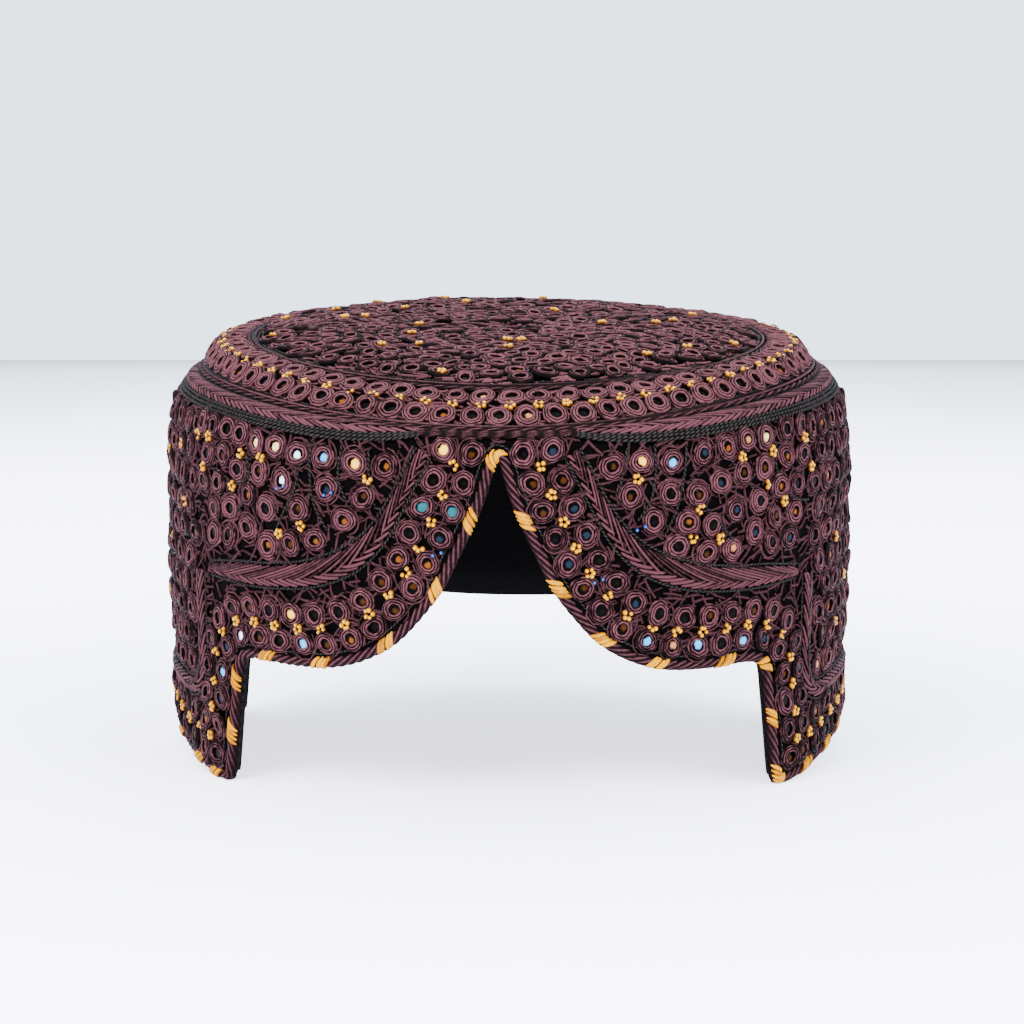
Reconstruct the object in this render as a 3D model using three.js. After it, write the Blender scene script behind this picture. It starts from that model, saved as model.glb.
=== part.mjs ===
// An embroidered round cap with a deep pointed notch at the front, two front lobes, a long flap at
// each side, a shallow lobe at the back and a low domed crown. Millimetres, +Z up, front towards -Y.
import * as THREE from 'three';
import { mergeVertices } from 'three/addons/utils/BufferGeometryUtils.js';

// Driving sizes of the cap's form
const clothRadius = 93.0; // widest outside radius of the band's cloth
const bandHeight = 100.0; // top edge of the band above the ground
const bandWall = 2.6;
const crownRise = 16.5; // top of the crown above its own rim
const crownWall = 2.6;
const crownSag = 4.7; // how much lower the crown's edge lies at the front than at the sides
const crownLift = 0.4; // how much higher the crown's inner circle lies at the back
const liningThickness = 0.9;
const liningTurnUp = 1.6; // from the band's cut edge to the lining's

// Driving sizes of the cut hem, all to the middle of the rolled binding
const notchBridge = 3.8; // from the top of the notch to the band's top edge
const lobeHeight = 37.4; // front lobes above the ground
const flapArch = 10.4; // middle of a side flap above the ground
const backShoulder = 37.0; // highest stretch of the back hem above the ground
const bindingThickness = 3.0;

// Driving sizes of the braids and mirrors
const edgeBraidThickness = 2.8; // twisted braid round the crown's edge
const circleBraidThickness = 2.6; // twisted braid round the crown's inner circle
const leafWidth = 6.2; // herringbone braid below the crown's edge, at its widest
const lobeBraidWidth = 6.2; // herringbone braid over a front lobe, at its widest
const flapBraidWidth = 4.0;
const backBraidWidth = 4.6;
const braidHeight = 1.5; // how far the flat braids stand out of the cloth
const braidInset = 17.4; // from the middle of the binding to the middle of the back braid
const mirrorRadius = 3.45; // outside of a mirror's wound thread ring
const mirrorHeight = 1.4; // how far a thread ring stands out
const glassRadius = 1.65;
const mirrorsPerSide = 17; // along the hem from the notch's top to the flap's front foot

// Clearances
const seatGap = 0.3; // between any two pieces that touch
const leafGap = 0.8; // between the crown's edge braid and the leaf braid below it

// Fineness of the facets
const hemChord = 14.0; // longest straight stretch along the hem
const braidChord = 9.5; // longest straight stretch along a flat braid
const crownColumns = 56;
const circleColumns = 42;
const cordSides = 6;
const circleSides = 5;
const mirrorSides = 9;

const degree = Math.PI / 180;
const bindingRadius = bindingThickness / 2;
const clothEdge = bindingRadius + seatGap;
const crownRim = bandHeight + seatGap;
const mmPerDegree = clothRadius * degree;

// Finishes
const finishes = {
  cloth: { color: 0x2a1c22, roughness: 0.95 },
  liningCloth: { color: 0x141214, roughness: 0.95 },
  plumThread: { color: 0x6d4658, roughness: 0.75 },
  paleThread: { color: 0x8a5c70, roughness: 0.7 },
  mirrorRing: { color: 0x5d3c4c, roughness: 0.6 },
};

// The band's outside from the ground to its top edge: height as a share of the band's height, and
// radius as a share of the cloth radius. It bellies a little and draws in under the crown.
const bandProfile = [
  { rise: 0.0, out: 0.985 },
  { rise: 0.3, out: 0.989 },
  { rise: 0.54, out: 0.998 },
  { rise: 0.7, out: 1.0 },
  { rise: 0.88, out: 0.998 },
  { rise: 0.94, out: 0.99 },
  { rise: 1.0, out: 0.975 },
];

// The crown's outside from its rim to its top. out is the radius as a share of the cloth radius and
// up the height as a share of the crown's rise. sag, spread and lift say how much of the front sag
// lowers and widens that ring, and how much of the back lift raises it.
const crownProfile = [
  { out: 0.975, up: 0.0, sag: 0.0, spread: 0.0, lift: 0.0 },
  { out: 0.957, up: 0.14, sag: 0.34, spread: 0.15, lift: 0.3 },
  { out: 0.899, up: 0.363, sag: 1.0, spread: 0.7, lift: 0.6 },
  { out: 0.841, up: 0.684, sag: 1.05, spread: 0.5, lift: 0.9 },
  { out: 0.758, up: 0.742, sag: 0.42, spread: 0.33, lift: 1.0 },
  { out: 0.56, up: 0.92, sag: 0.17, spread: 0.17, lift: 0.7 },
  { out: 0.28, up: 0.97, sag: 0.03, spread: 0.0, lift: 0.2 },
  { out: 0.0, up: 1.0, sag: 0.0, spread: 0.0, lift: 0.0 },
];
const edgeRow = 2; // the crown's edge, which carries the edge braid
const slopeRow = 3; // first ring of the crown's inside above its rim
const circleRow = 4; // the inner circle, which carries the circle braid
const centreRow = 6; // ring that the lining spans straight across
const sagPower = 3.0;

// Half of the hem, from the middle of the front to the middle of the back. turn is the angle from
// the front in degrees. share is how far each point lies from the low to the high end of its stretch.
// Each flap ends in a flat foot at its front and at its back, on which the cap stands.
const notchEdge = [
  { turn: 0.0, share: 1.0 },
  { turn: 1.05, share: 0.978 },
  { turn: 1.75, share: 0.925 },
  { turn: 2.9, share: 0.82 },
  { turn: 5.0, share: 0.679 },
  { turn: 7.4, share: 0.541 },
  { turn: 9.9, share: 0.401 },
  { turn: 13.0, share: 0.286 },
  { turn: 17.9, share: 0.146 },
  { turn: 23.4, share: 0.061 },
  { turn: 29.2, share: 0.015 },
  { turn: 37.0, share: 0.0 },
  { turn: 46.6, share: 0.0 },
];
const frontStep = [
  { turn: 49.6, share: 0.972 },
  { turn: 51.2, share: 0.9 },
  { turn: 52.6, share: 0.62 },
  { turn: 53.6, share: 0.36 },
  { turn: 54.5, share: 0.11 },
  { turn: 54.9, share: 0.03 },
  { turn: 55.3, share: 0.0 },
  { turn: 55.9, share: 0.0 },
  { turn: 57.1, share: 0.0 },
  { turn: 57.7, share: 0.0 },
];
const flapEdge = [
  { turn: 58.9, share: 0.1 },
  { turn: 61.2, share: 0.24 },
  { turn: 66.0, share: 0.45 },
  { turn: 73.3, share: 0.74 },
  { turn: 80.2, share: 0.93 },
  { turn: 87.3, share: 1.0 },
  { turn: 94.4, share: 0.93 },
  { turn: 101.3, share: 0.74 },
  { turn: 108.6, share: 0.45 },
  { turn: 113.4, share: 0.24 },
  { turn: 115.7, share: 0.1 },
];
const backStep = [
  { turn: 116.9, share: 0.0 },
  { turn: 117.5, share: 0.0 },
  { turn: 118.7, share: 0.0 },
  { turn: 119.3, share: 0.0 },
  { turn: 119.7, share: 0.03 },
  { turn: 120.1, share: 0.11 },
  { turn: 121.0, share: 0.36 },
  { turn: 122.0, share: 0.62 },
  { turn: 123.4, share: 0.9 },
  { turn: 125.0, share: 0.972 },
];
const backEdge = [
  { turn: 128.0, share: 1.0 },
  { turn: 135.0, share: 0.985 },
  { turn: 143.0, share: 0.95 },
  { turn: 151.0, share: 0.9 },
  { turn: 160.0, share: 0.83 },
  { turn: 170.0, share: 0.78 },
  { turn: 180.0, share: 0.765 },
];

// The herringbone braid over a front lobe: from beside the notch's top, round the lobe, to the flap.
// share is its height between the lobe's hem and the top of the notch, width a share of its widest.
const lobeBraidLine = [
  { turn: 12.4, share: 1.0, width: 0.5 },
  { turn: 13.9, share: 0.928, width: 0.56 },
  { turn: 15.6, share: 0.834, width: 0.55 },
  { turn: 17.4, share: 0.741, width: 0.58 },
  { turn: 19.3, share: 0.655, width: 0.7 },
  { turn: 21.9, share: 0.57, width: 0.84 },
  { turn: 25.3, share: 0.498, width: 0.98 },
  { turn: 29.5, share: 0.445, width: 1.0 },
  { turn: 34.5, share: 0.406, width: 0.95 },
  { turn: 39.0, share: 0.389, width: 0.89 },
  { turn: 43.5, share: 0.377, width: 0.84 },
  { turn: 48.0, share: 0.372, width: 0.79 },
  { turn: 53.0, share: 0.366, width: 0.6 },
  { turn: 58.2, share: 0.358, width: 0.36 },
];

// The braid that frames a side flap: down its front edge, along its hem and up its back edge.
// share is its height between the flap's arch and the lobe braid's lower end.
const flapBraidLine = [
  { turn: 61.9, share: 1.0 },
  { turn: 62.0, share: 0.7 },
  { turn: 62.2, share: 0.44 },
  { turn: 63.6, share: 0.32 },
  { turn: 66.8, share: 0.27 },
  { turn: 73.6, share: 0.29 },
  { turn: 80.5, share: 0.31 },
  { turn: 87.3, share: 0.32 },
  { turn: 94.1, share: 0.31 },
  { turn: 101.0, share: 0.29 },
  { turn: 107.8, share: 0.27 },
  { turn: 111.0, share: 0.32 },
  { turn: 112.4, share: 0.44 },
  { turn: 112.6, share: 0.7 },
  { turn: 112.7, share: 1.0 },
];

// The leaf braid below the crown's edge, from beside the front to beside the back.
const leafLine = [
  { turn: 13.8, width: 0.56 },
  { turn: 16.5, width: 0.78 },
  { turn: 20.5, width: 0.93 },
  { turn: 27.0, width: 1.0 },
  { turn: 35.0, width: 0.95 },
  { turn: 44.0, width: 0.82 },
  { turn: 56.0, width: 0.68 },
  { turn: 72.0, width: 0.6 },
  { turn: 90.0, width: 0.56 },
  { turn: 110.0, width: 0.56 },
  { turn: 130.0, width: 0.6 },
  { turn: 150.0, width: 0.56 },
  { turn: 167.0, width: 0.4 },
];

// A flat braid's section: side is a share of its half width, height a share of the braid height.
const braidSection = [
  { side: -1.0, height: 0.0 },
  { side: -0.75, height: 0.72 },
  { side: 0.0, height: 1.0 },
  { side: 0.75, height: 0.72 },
  { side: 1.0, height: 0.0 },
];

// A mirror's half section: out is a share of the ring's radius, or of the glass for the last two.
const ringFoot = { out: 1.0, height: 0.35 };
const ringTop = { out: 0.74, height: 1.0 };
const glassHeight = 0.45;

/** Value of one column of a table at a position, with straight lines between the rows. */
function lookUp(rows, key, column, position) {
  if (position <= rows[0][key]) {
    return rows[0][column];
  }
  for (let i = 1; i < rows.length; i += 1) {
    const low = rows[i - 1];
    const high = rows[i];
    if (position <= high[key]) {
      const share = (position - low[key]) / (high[key] - low[key]);
      return THREE.MathUtils.lerp(low[column], high[column], share);
    }
  }
  return rows[rows.length - 1][column];
}

/** Point of the cap at an angle from the front, in degrees, a radius and a height. */
function place(turn, radius, height) {
  return new THREE.Vector3(radius * Math.sin(turn * degree), -radius * Math.cos(turn * degree), height);
}

/** Outside radius of the band at a height. */
function bandRadius(height) {
  return clothRadius * lookUp(bandProfile, 'rise', 'out', height / bandHeight);
}

/** Outside radius and height of one ring of the crown at an angle. */
function crownRing(turn, row) {
  const facing = Math.cos(turn * degree);
  const front = Math.pow(Math.max(facing, 0), sagPower) * crownSag;
  const back = Math.pow(Math.max(-facing, 0), 2) * crownLift;
  const radius = row.out * clothRadius + row.spread * front;
  const height = crownRim + row.up * crownRise - row.sag * front + row.lift * back;
  return new THREE.Vector2(radius, height);
}

/** The crown's rings at an angle, moved inwards by a depth along the surface's own slope. */
function crownRings(turn, depth) {
  const rings = crownProfile.map((row) => crownRing(turn, row));
  const last = rings.length - 1;
  return rings.map((ring, i) => {
    if (i === 0) {
      return new THREE.Vector2(ring.x - depth, ring.y);
    }
    if (i === last) {
      return new THREE.Vector2(0, ring.y - depth);
    }
    const along = rings[i + 1].clone().sub(rings[i - 1]).normalize();
    return new THREE.Vector2(ring.x - along.y * depth, ring.y + along.x * depth);
  });
}

/** Solid that joins a row of sections. Each section runs up its outer side and down its inner side. */
function sweep(sections, closed) {
  const count = sections[0].length;
  const positions = sections.flatMap((section) => section.flatMap((point) => point.toArray()));
  const triangles = [];
  const spans = closed ? sections.length : sections.length - 1;
  for (let k = 0; k < spans; k += 1) {
    const here = k * count;
    const next = ((k + 1) % sections.length) * count;
    for (let i = 0; i < count; i += 1) {
      const j = (i + 1) % count;
      triangles.push(here + i, next + i, here + j);
      triangles.push(here + j, next + i, next + j);
    }
  }
  if (!closed) {
    const end = (sections.length - 1) * count;
    for (let i = 1; i < count - 1; i += 1) {
      triangles.push(0, i, i + 1);
      triangles.push(end, end + i + 1, end + i);
    }
  }
  const rough = new THREE.BufferGeometry();
  rough.setAttribute('position', new THREE.Float32BufferAttribute(positions, 3));
  rough.setIndex(triangles);
  const geometry = mergeVertices(rough, 0.001);
  const corners = Array.from(geometry.index.array);
  const kept = [];
  for (let i = 0; i < corners.length; i += 3) {
    const [a, b, c] = corners.slice(i, i + 3);
    if (a !== b && b !== c && c !== a) {
      kept.push(a, b, c);
    }
  }
  geometry.setIndex(kept);
  geometry.computeVertexNormals();
  return geometry;
}

/** Named mesh with one of the finishes. */
function piece(name, geometry, finish) {
  const mesh = new THREE.Mesh(geometry, new THREE.MeshStandardMaterial({ ...finishes[finish], metalness: 0 }));
  mesh.name = name;
  return mesh;
}

/** Half of the hem as unrolled points: distance round the cap and height. */
function hemHalf() {
  const notchTop = bandHeight - notchBridge;
  const stretch = (rows, low, high) => rows.map((row) => (
    new THREE.Vector2(row.turn * mmPerDegree, THREE.MathUtils.lerp(low, high, row.share))
  ));
  return [
    ...stretch(notchEdge, lobeHeight, notchTop),
    ...stretch(frontStep, bindingRadius, lobeHeight),
    ...stretch(flapEdge, bindingRadius, flapArch),
    ...stretch(backStep, bindingRadius, backShoulder),
    ...stretch(backEdge, bindingRadius, backShoulder),
  ];
}

/** Smooth line through points, with at least one step per point and none over a length. */
function smoothLine(points, longest) {
  const curve = new THREE.CatmullRomCurve3(
    points.map((point) => new THREE.Vector3(point.x, point.y, point.z ?? 0)),
    false,
    'centripetal',
  );
  const line = [];
  for (let i = 0; i < points.length - 1; i += 1) {
    const steps = Math.ceil(points[i].distanceTo(points[i + 1]) / longest);
    for (let k = 0; k < steps; k += 1) {
      line.push(curve.getPoint((i + k / steps) / (points.length - 1)));
    }
  }
  line.push(curve.getPoint(1));
  return line;
}

/** The whole hem, unrolled from the middle of the back round the front, without its last point. */
function hemLoop() {
  const half = smoothLine(hemHalf(), hemChord);
  const mirrored = half.slice(1).reverse().map((point) => new THREE.Vector2(-point.x, point.y));
  return [...mirrored, ...half.slice(0, -1)];
}

/** A closed unrolled line moved towards the cloth by a distance. */
function inset(loop, distance) {
  const round = 360 * mmPerDegree;
  return loop.map((point, i) => {
    const before = loop[(i + loop.length - 1) % loop.length];
    const after = loop[(i + 1) % loop.length];
    const run = (after.x - before.x + round) % round;
    const fall = after.y - before.y;
    const length = Math.hypot(run, fall);
    return new THREE.Vector2(point.x - (fall / length) * distance, point.y + (run / length) * distance);
  });
}

const hem = hemLoop();

/** The band's wall: a column from the cut edge to the top edge at each point of the hem. */
function bandGeometry() {
  const heights = [0, 0.45, 0.8, 1];
  const sections = inset(hem, clothEdge).map((foot) => {
    const turn = foot.x / mmPerDegree;
    const levels = heights.map((share) => THREE.MathUtils.lerp(foot.y, bandHeight, share));
    const outside = levels.map((level) => place(turn, bandRadius(level), level));
    const inside = levels.map((level) => place(turn, bandRadius(level) - bandWall, level));
    return [...outside, ...inside.reverse()];
  });
  return sweep(sections, true);
}

/** The crown's shell: its outside rings, and its inside from the slope to a flat rim. */
function crownGeometry() {
  const sections = [];
  for (let k = 0; k < crownColumns; k += 1) {
    const turn = (k / crownColumns) * 360;
    const inside = crownRings(turn, crownWall);
    const outline = [...crownRings(turn, 0), ...inside.slice(slopeRow).reverse(), inside[0]];
    sections.push(outline.map((ring) => place(turn, ring.x, ring.y)));
  }
  return sweep(sections, true);
}

/** The lining: a thin skin up the band's inside and across the crown's inside. */
function liningGeometry() {
  const skin = (turn, foot, depth) => {
    const rings = crownRings(turn, crownWall + seatGap + depth).filter((ring, row) => (
      row >= slopeRow && row !== centreRow
    ));
    const wallDepth = bandWall + seatGap + depth;
    const low = new THREE.Vector2(bandRadius(foot) - wallDepth, foot);
    const high = new THREE.Vector2(bandRadius(bandHeight) - wallDepth, bandHeight);
    return [low, high, ...rings];
  };
  const sections = inset(hem, clothEdge + liningTurnUp).map((foot) => {
    const turn = foot.x / mmPerDegree;
    const outline = [...skin(turn, foot.y, 0), ...skin(turn, foot.y, liningThickness).reverse()];
    return outline.map((ring) => place(turn, ring.x, ring.y));
  });
  return sweep(sections, true);
}

/** Round cord along a closed path of points, each with the direction that faces out of the cap. */
function closedCord(path, radius, sides) {
  const sections = path.map(({ point, out }, k) => {
    const before = path[(k + path.length - 1) % path.length].point;
    const after = path[(k + 1) % path.length].point;
    const along = after.clone().sub(before).normalize();
    const up = out.clone().cross(along).normalize();
    const facing = along.clone().cross(up);
    const section = [];
    for (let i = 0; i < sides; i += 1) {
      const angle = (i / sides) * 2 * Math.PI;
      const offset = facing.clone().multiplyScalar(radius * Math.cos(angle));
      offset.addScaledVector(up, radius * Math.sin(angle));
      section.push(point.clone().add(offset));
    }
    return section;
  });
  return sweep(sections, true);
}

/** The rolled binding along the whole hem, centred on the band's wall. */
function bindingGeometry() {
  const path = hem.map((foot) => {
    const turn = foot.x / mmPerDegree;
    const point = place(turn, bandRadius(foot.y) - bandWall / 2, foot.y);
    return { point, out: place(turn, 1, 0) };
  });
  return closedCord(path, bindingRadius, cordSides);
}

/** A twisted braid lying on one ring of the crown. */
function ringBraidGeometry(row, thickness, columns, sides) {
  const path = [];
  for (let k = 0; k < columns; k += 1) {
    const turn = (k / columns) * 360;
    const ring = crownRings(turn, -(seatGap + thickness / 2))[row];
    path.push({ point: place(turn, ring.x, ring.y), out: place(turn, 1, 0) });
  }
  return closedCord(path, thickness / 2, sides);
}

/** Flat braid along stations on the cap's outside, each with a half width. */
function flatBraid(stations) {
  const sections = stations.map(({ point, out, half }, k) => {
    const before = stations[Math.max(k - 1, 0)].point;
    const after = stations[Math.min(k + 1, stations.length - 1)].point;
    const along = after.clone().sub(before).normalize();
    const up = out.clone().cross(along).normalize();
    return braidSection.map(({ side, height }) => point.clone()
      .addScaledVector(up, side * half)
      .addScaledVector(out, seatGap + height * braidHeight));
  });
  return sweep(sections, false);
}

/** Station on the band's outside at an unrolled point. */
function bandStation(foot, half) {
  const turn = foot.x / mmPerDegree;
  return { point: place(turn, bandRadius(foot.y), foot.y), out: place(turn, 1, 0), half };
}

/** Flat braid on the band through table rows, on the right side of the cap or on the left. */
function bandBraid(rows, low, high, width, side) {
  const points = rows.map((row) => new THREE.Vector3(
    row.turn * mmPerDegree,
    THREE.MathUtils.lerp(low, high, row.share),
    (width * (row.width ?? 1)) / 2,
  ));
  const stations = smoothLine(points, braidChord).map((foot) => (
    bandStation(new THREE.Vector2(side * foot.x, foot.y), foot.z)
  ));
  return flatBraid(side > 0 ? stations : stations.reverse());
}

/** Station of the leaf braid: its top hangs below the crown's edge braid by the leaf gap. */
function leafStation(turn, width, side) {
  const drop = edgeBraidThickness / 2 + leafGap + width / 2;
  const rings = crownRings(turn, 0).slice(0, edgeRow + 1).reverse();
  const wall = bandProfile.slice(-3, -1).reverse().map(({ rise, out }) => (
    new THREE.Vector2(out * clothRadius, rise * bandHeight)
  ));
  const down = new THREE.CatmullRomCurve3(
    [...rings, ...wall].map((ring) => new THREE.Vector3(ring.x, ring.y, 0)),
    false,
    'centripetal',
  );
  const at = down.getPointAt(drop / down.getLength());
  const slope = down.getTangentAt(drop / down.getLength());
  return {
    point: place(side * turn, at.x, at.y),
    out: place(side * turn, -slope.y, slope.x).normalize(),
    half: width / 2,
  };
}

/** The leaf braid below the crown's edge, on the right side of the cap or on the left. */
function leafGeometry(side) {
  const points = leafLine.map((row) => (
    new THREE.Vector2(row.turn * mmPerDegree, row.width * leafWidth)
  ));
  const stations = smoothLine(points, braidChord).map((foot) => (
    leafStation(foot.x / mmPerDegree, foot.y, side)
  ));
  return flatBraid(side > 0 ? stations : stations.reverse());
}

/** The back braid: it follows the back hem at a fixed distance, from one flap's braid to the other. */
function backBraidGeometry() {
  const ends = 180 - flapBraidLine[flapBraidLine.length - 1].turn;
  const reach = (ends - flapBraidWidth / mmPerDegree) * mmPerDegree;
  const middle = 180 * mmPerDegree;
  const rows = backEdge.map((row) => (
    new THREE.Vector2(row.turn * mmPerDegree, THREE.MathUtils.lerp(bindingRadius, backShoulder, row.share))
  ));
  const first = new THREE.Vector2(middle - reach, rows[0].y);
  const half = smoothLine([first, ...rows], braidChord);
  const other = half.slice(0, -1).reverse().map((point) => new THREE.Vector2(2 * middle - point.x, point.y));
  const stations = [...half, ...other].map((foot) => (
    bandStation(new THREE.Vector2(foot.x, foot.y + braidInset), backBraidWidth / 2)
  ));
  return flatBraid(stations);
}

/** A round mirror fused with its wound thread ring, its back on z = 0. */
function mirrorGeometry() {
  const profile = [
    new THREE.Vector2(0, 0),
    new THREE.Vector2(mirrorRadius * ringTop.out, 0),
    new THREE.Vector2(mirrorRadius * ringFoot.out, mirrorHeight * ringFoot.height),
    new THREE.Vector2(mirrorRadius * ringTop.out, mirrorHeight * ringTop.height),
    new THREE.Vector2(glassRadius, mirrorHeight * glassHeight),
    new THREE.Vector2(0, mirrorHeight * glassHeight),
  ];
  const lathe = new THREE.LatheGeometry(profile, mirrorSides);
  lathe.rotateX(Math.PI / 2);
  return lathe;
}

/** Places of the front border's outer mirrors on the right side, from the notch's top to the flap's foot. */
function mirrorFeet() {
  const rowInset = bindingRadius + seatGap + mirrorRadius;
  const ceiling = bandHeight - mirrorRadius - seatGap;
  const end = flapEdge[0].turn * mmPerDegree + rowInset;
  const line = inset(hem, rowInset).filter((point) => (
    point.x > 0 && point.x < end && point.y < ceiling && point.y > 2 * rowInset
  ));
  const runs = [0];
  for (let i = 1; i < line.length; i += 1) {
    runs.push(runs[i - 1] + line[i].distanceTo(line[i - 1]));
  }
  const whole = runs[runs.length - 1];
  const feet = [];
  for (let k = 0; k < mirrorsPerSide; k += 1) {
    const run = (k / (mirrorsPerSide - 1)) * whole;
    const i = Math.max(runs.findIndex((length) => length >= run), 1);
    feet.push(line[i - 1].clone().lerp(line[i], (run - runs[i - 1]) / (runs[i] - runs[i - 1])));
  }
  return feet;
}

const cap = new THREE.Group();
cap.add(piece('band', bandGeometry(), 'cloth'));
cap.add(piece('crown', crownGeometry(), 'cloth'));
cap.add(piece('lining', liningGeometry(), 'liningCloth'));
cap.add(piece('hem_binding', bindingGeometry(), 'plumThread'));
cap.add(piece(
  'crown_edge_braid',
  ringBraidGeometry(edgeRow, edgeBraidThickness, crownColumns, cordSides),
  'paleThread',
));
cap.add(piece(
  'crown_circle_braid',
  ringBraidGeometry(circleRow, circleBraidThickness, circleColumns, circleSides),
  'paleThread',
));
cap.add(piece('back_braid', backBraidGeometry(), 'plumThread'));

const lobeBraidEnd = lobeBraidLine[lobeBraidLine.length - 1];
const notchTop = bandHeight - notchBridge;
const flapBraidTop = THREE.MathUtils.lerp(lobeHeight, notchTop, lobeBraidEnd.share);
const feet = mirrorFeet();

for (const [sideName, side] of [['left', -1], ['right', 1]]) {
  cap.add(piece(`leaf_braid_${sideName}`, leafGeometry(side), 'paleThread'));
  cap.add(piece(
    `lobe_braid_${sideName}`,
    bandBraid(lobeBraidLine, lobeHeight, notchTop, lobeBraidWidth, side),
    'plumThread',
  ));
  cap.add(piece(
    `flap_braid_${sideName}`,
    bandBraid(flapBraidLine, flapArch, flapBraidTop, flapBraidWidth, side),
    'plumThread',
  ));
  feet.forEach((foot, k) => {
    const number = String(k + 1).padStart(2, '0');
    const mirror = piece(`front_mirror_${sideName}_${number}`, mirrorGeometry(), 'mirrorRing');
    const turn = (side * foot.x) / mmPerDegree;
    const out = place(turn, 1, 0);
    mirror.position.copy(place(turn, bandRadius(foot.y) + seatGap, foot.y));
    mirror.quaternion.setFromUnitVectors(new THREE.Vector3(0, 0, 1), out);
    cap.add(mirror);
  });
}

// The origin is under the middle of the cap, on the ground
const box = new THREE.Box3().setFromObject(cap);
const middle = box.getCenter(new THREE.Vector3());
cap.position.set(-middle.x, -middle.y, -box.min.z);

export default cap;
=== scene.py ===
import math

import bpy
import numpy as np
from mathutils import Matrix, Vector


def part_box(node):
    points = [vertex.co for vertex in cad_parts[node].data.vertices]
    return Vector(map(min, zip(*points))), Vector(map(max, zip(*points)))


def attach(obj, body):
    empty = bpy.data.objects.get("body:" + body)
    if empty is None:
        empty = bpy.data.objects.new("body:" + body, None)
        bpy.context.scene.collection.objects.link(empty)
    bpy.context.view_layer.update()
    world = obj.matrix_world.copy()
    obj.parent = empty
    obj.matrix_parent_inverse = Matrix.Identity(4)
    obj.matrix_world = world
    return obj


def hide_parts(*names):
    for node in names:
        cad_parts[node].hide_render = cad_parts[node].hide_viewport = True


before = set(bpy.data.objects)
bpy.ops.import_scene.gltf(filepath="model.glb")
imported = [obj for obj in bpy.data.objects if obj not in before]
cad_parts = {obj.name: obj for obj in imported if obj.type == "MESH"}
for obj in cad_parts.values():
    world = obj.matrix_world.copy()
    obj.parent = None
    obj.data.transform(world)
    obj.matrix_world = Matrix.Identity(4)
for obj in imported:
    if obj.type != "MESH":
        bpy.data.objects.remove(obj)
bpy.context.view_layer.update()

# ---------------------------------------------------------------- sizes, in millimetres unless named
METRE = 0.001
BAND_LOW, BAND_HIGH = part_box("band")
CLOTH_RADIUS = (BAND_HIGH.x - BAND_LOW.x) / 2 / METRE
MM_PER_DEGREE = CLOTH_RADIUS * math.pi / 180
ROUND = 360 * MM_PER_DEGREE
BAND_HEIGHT = 100.0  # the band's top edge over the ground, before the binding is set on it
DROP = BAND_HEIGHT - BAND_HIGH.z / METRE  # how far the whole cap sits down so that the binding is on the ground
BAND_WALL = 2.6
CROWN_WALL = 2.6
CROWN_RISE = 16.5
CROWN_SAG = 4.7
SAG_POWER = 3.0
CROWN_LIFT = 0.4
CROWN_RIM = BAND_HEIGHT + 0.3
CROWN_LOFT = (0.5, 0.5, 0.4)  # extra thickness of the crown's embroidery: behind, at the sides, at the left
LINING_GAP = 0.3  # from the band's inside to the lining
LINING_WALL = 0.9
LINING_DROP = 2.4  # how much lower the lining's edge is behind
CUT_EDGE = 0.9  # from the middle of the binding to the cloth's cut edge
BINDING_RADIUS = 1.5
NOTCH_TOP = 96.2
LOBE_HEIGHT = 37.4
FLAP_ARCH = 10.4
BACK_SHOULDER = 37.0

RING_HEIGHT = 1.5
OUTER_ROW = 5.1  # from the middle of the binding to the border's outer row of mirrors
INNER_ROW = 12.9
BEAD_ROW = 9.0
ROW_PITCH = 7.9

BINDING_VISUAL = 1.8  # radius of the wound binding, a little more than the solid's
BINDING_PITCH = 21.0
BINDING_PLIES = 7
BINDING_STEP = 1.1
STROKE_START, STROKE_PITCH, STROKE_LENGTH, STROKE_RADIUS = -3.2, 1.3, 3.6, 0.7  # yellow satin on the binding
LINE_STEP = 0.5
HEM_STEP = 0.6
CHARCOAL_STEP = 0.65
CHARCOAL_DEPTH = 0.42
CORD_GAP = 0.75  # from a braid's edge to the middle of the charcoal cord beside it
BRIDGE_DROP, BRIDGE_PITCH = 4.3, 1.25  # from the crown's edge to the first bridge cord, and between them
BEAD_RADIUS = 0.72
BEAD_MISSING = 0.12  # share of the flowers' beads that are missing

# Mirrors: radius of the ring and of the glass, by place
BORDER_SIZES = (3.75, 1.7)
PANEL_SIZES = (3.7, 1.6)
CROWN_SIZES = (3.85, 1.6)
DISC_SIZES = (3.45, 1.5)
SIDE_START, SIDE_PITCH, SIDE_STAGGER = 64.0, 4.75, 2.4  # degrees: first side mirror, pitch, every other row's shift
SIDE_TOP, SIDE_ROW = 96.6, 7.3  # height of the side rows' first one, and between them
FLAP_INSIDE = (66, 109)  # degrees: between the two legs of a flap braid
BEHIND_FLAP = 112
DISC_RADIUS, DISC_NUMBER, DISC_FIRST = 66.5, 430, 4
GOLDEN_ANGLE = 2.39996  # radians
BAND_STRANDS, CROWN_STRANDS, STRAND_LENGTHS = 7000, 2800, (3.5, 7.5)

rng = np.random.default_rng(179)

FLAP_MIDDLE = 87.3  # turn of the middle of a side flap, in degrees


def reflected(rows):
    """Table rows on the far side of the flap's middle."""
    return [(round(2 * FLAP_MIDDLE - turn, 1), value) for turn, value in rows[::-1]]


# Band outside: height and radius as shares of the band's height and the cloth radius
BAND_PROFILE = [(0, 0.985), (0.3, 0.989), (0.54, 0.998), (0.7, 1), (0.88, 0.998), (0.94, 0.99), (1, 0.975)]

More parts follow.
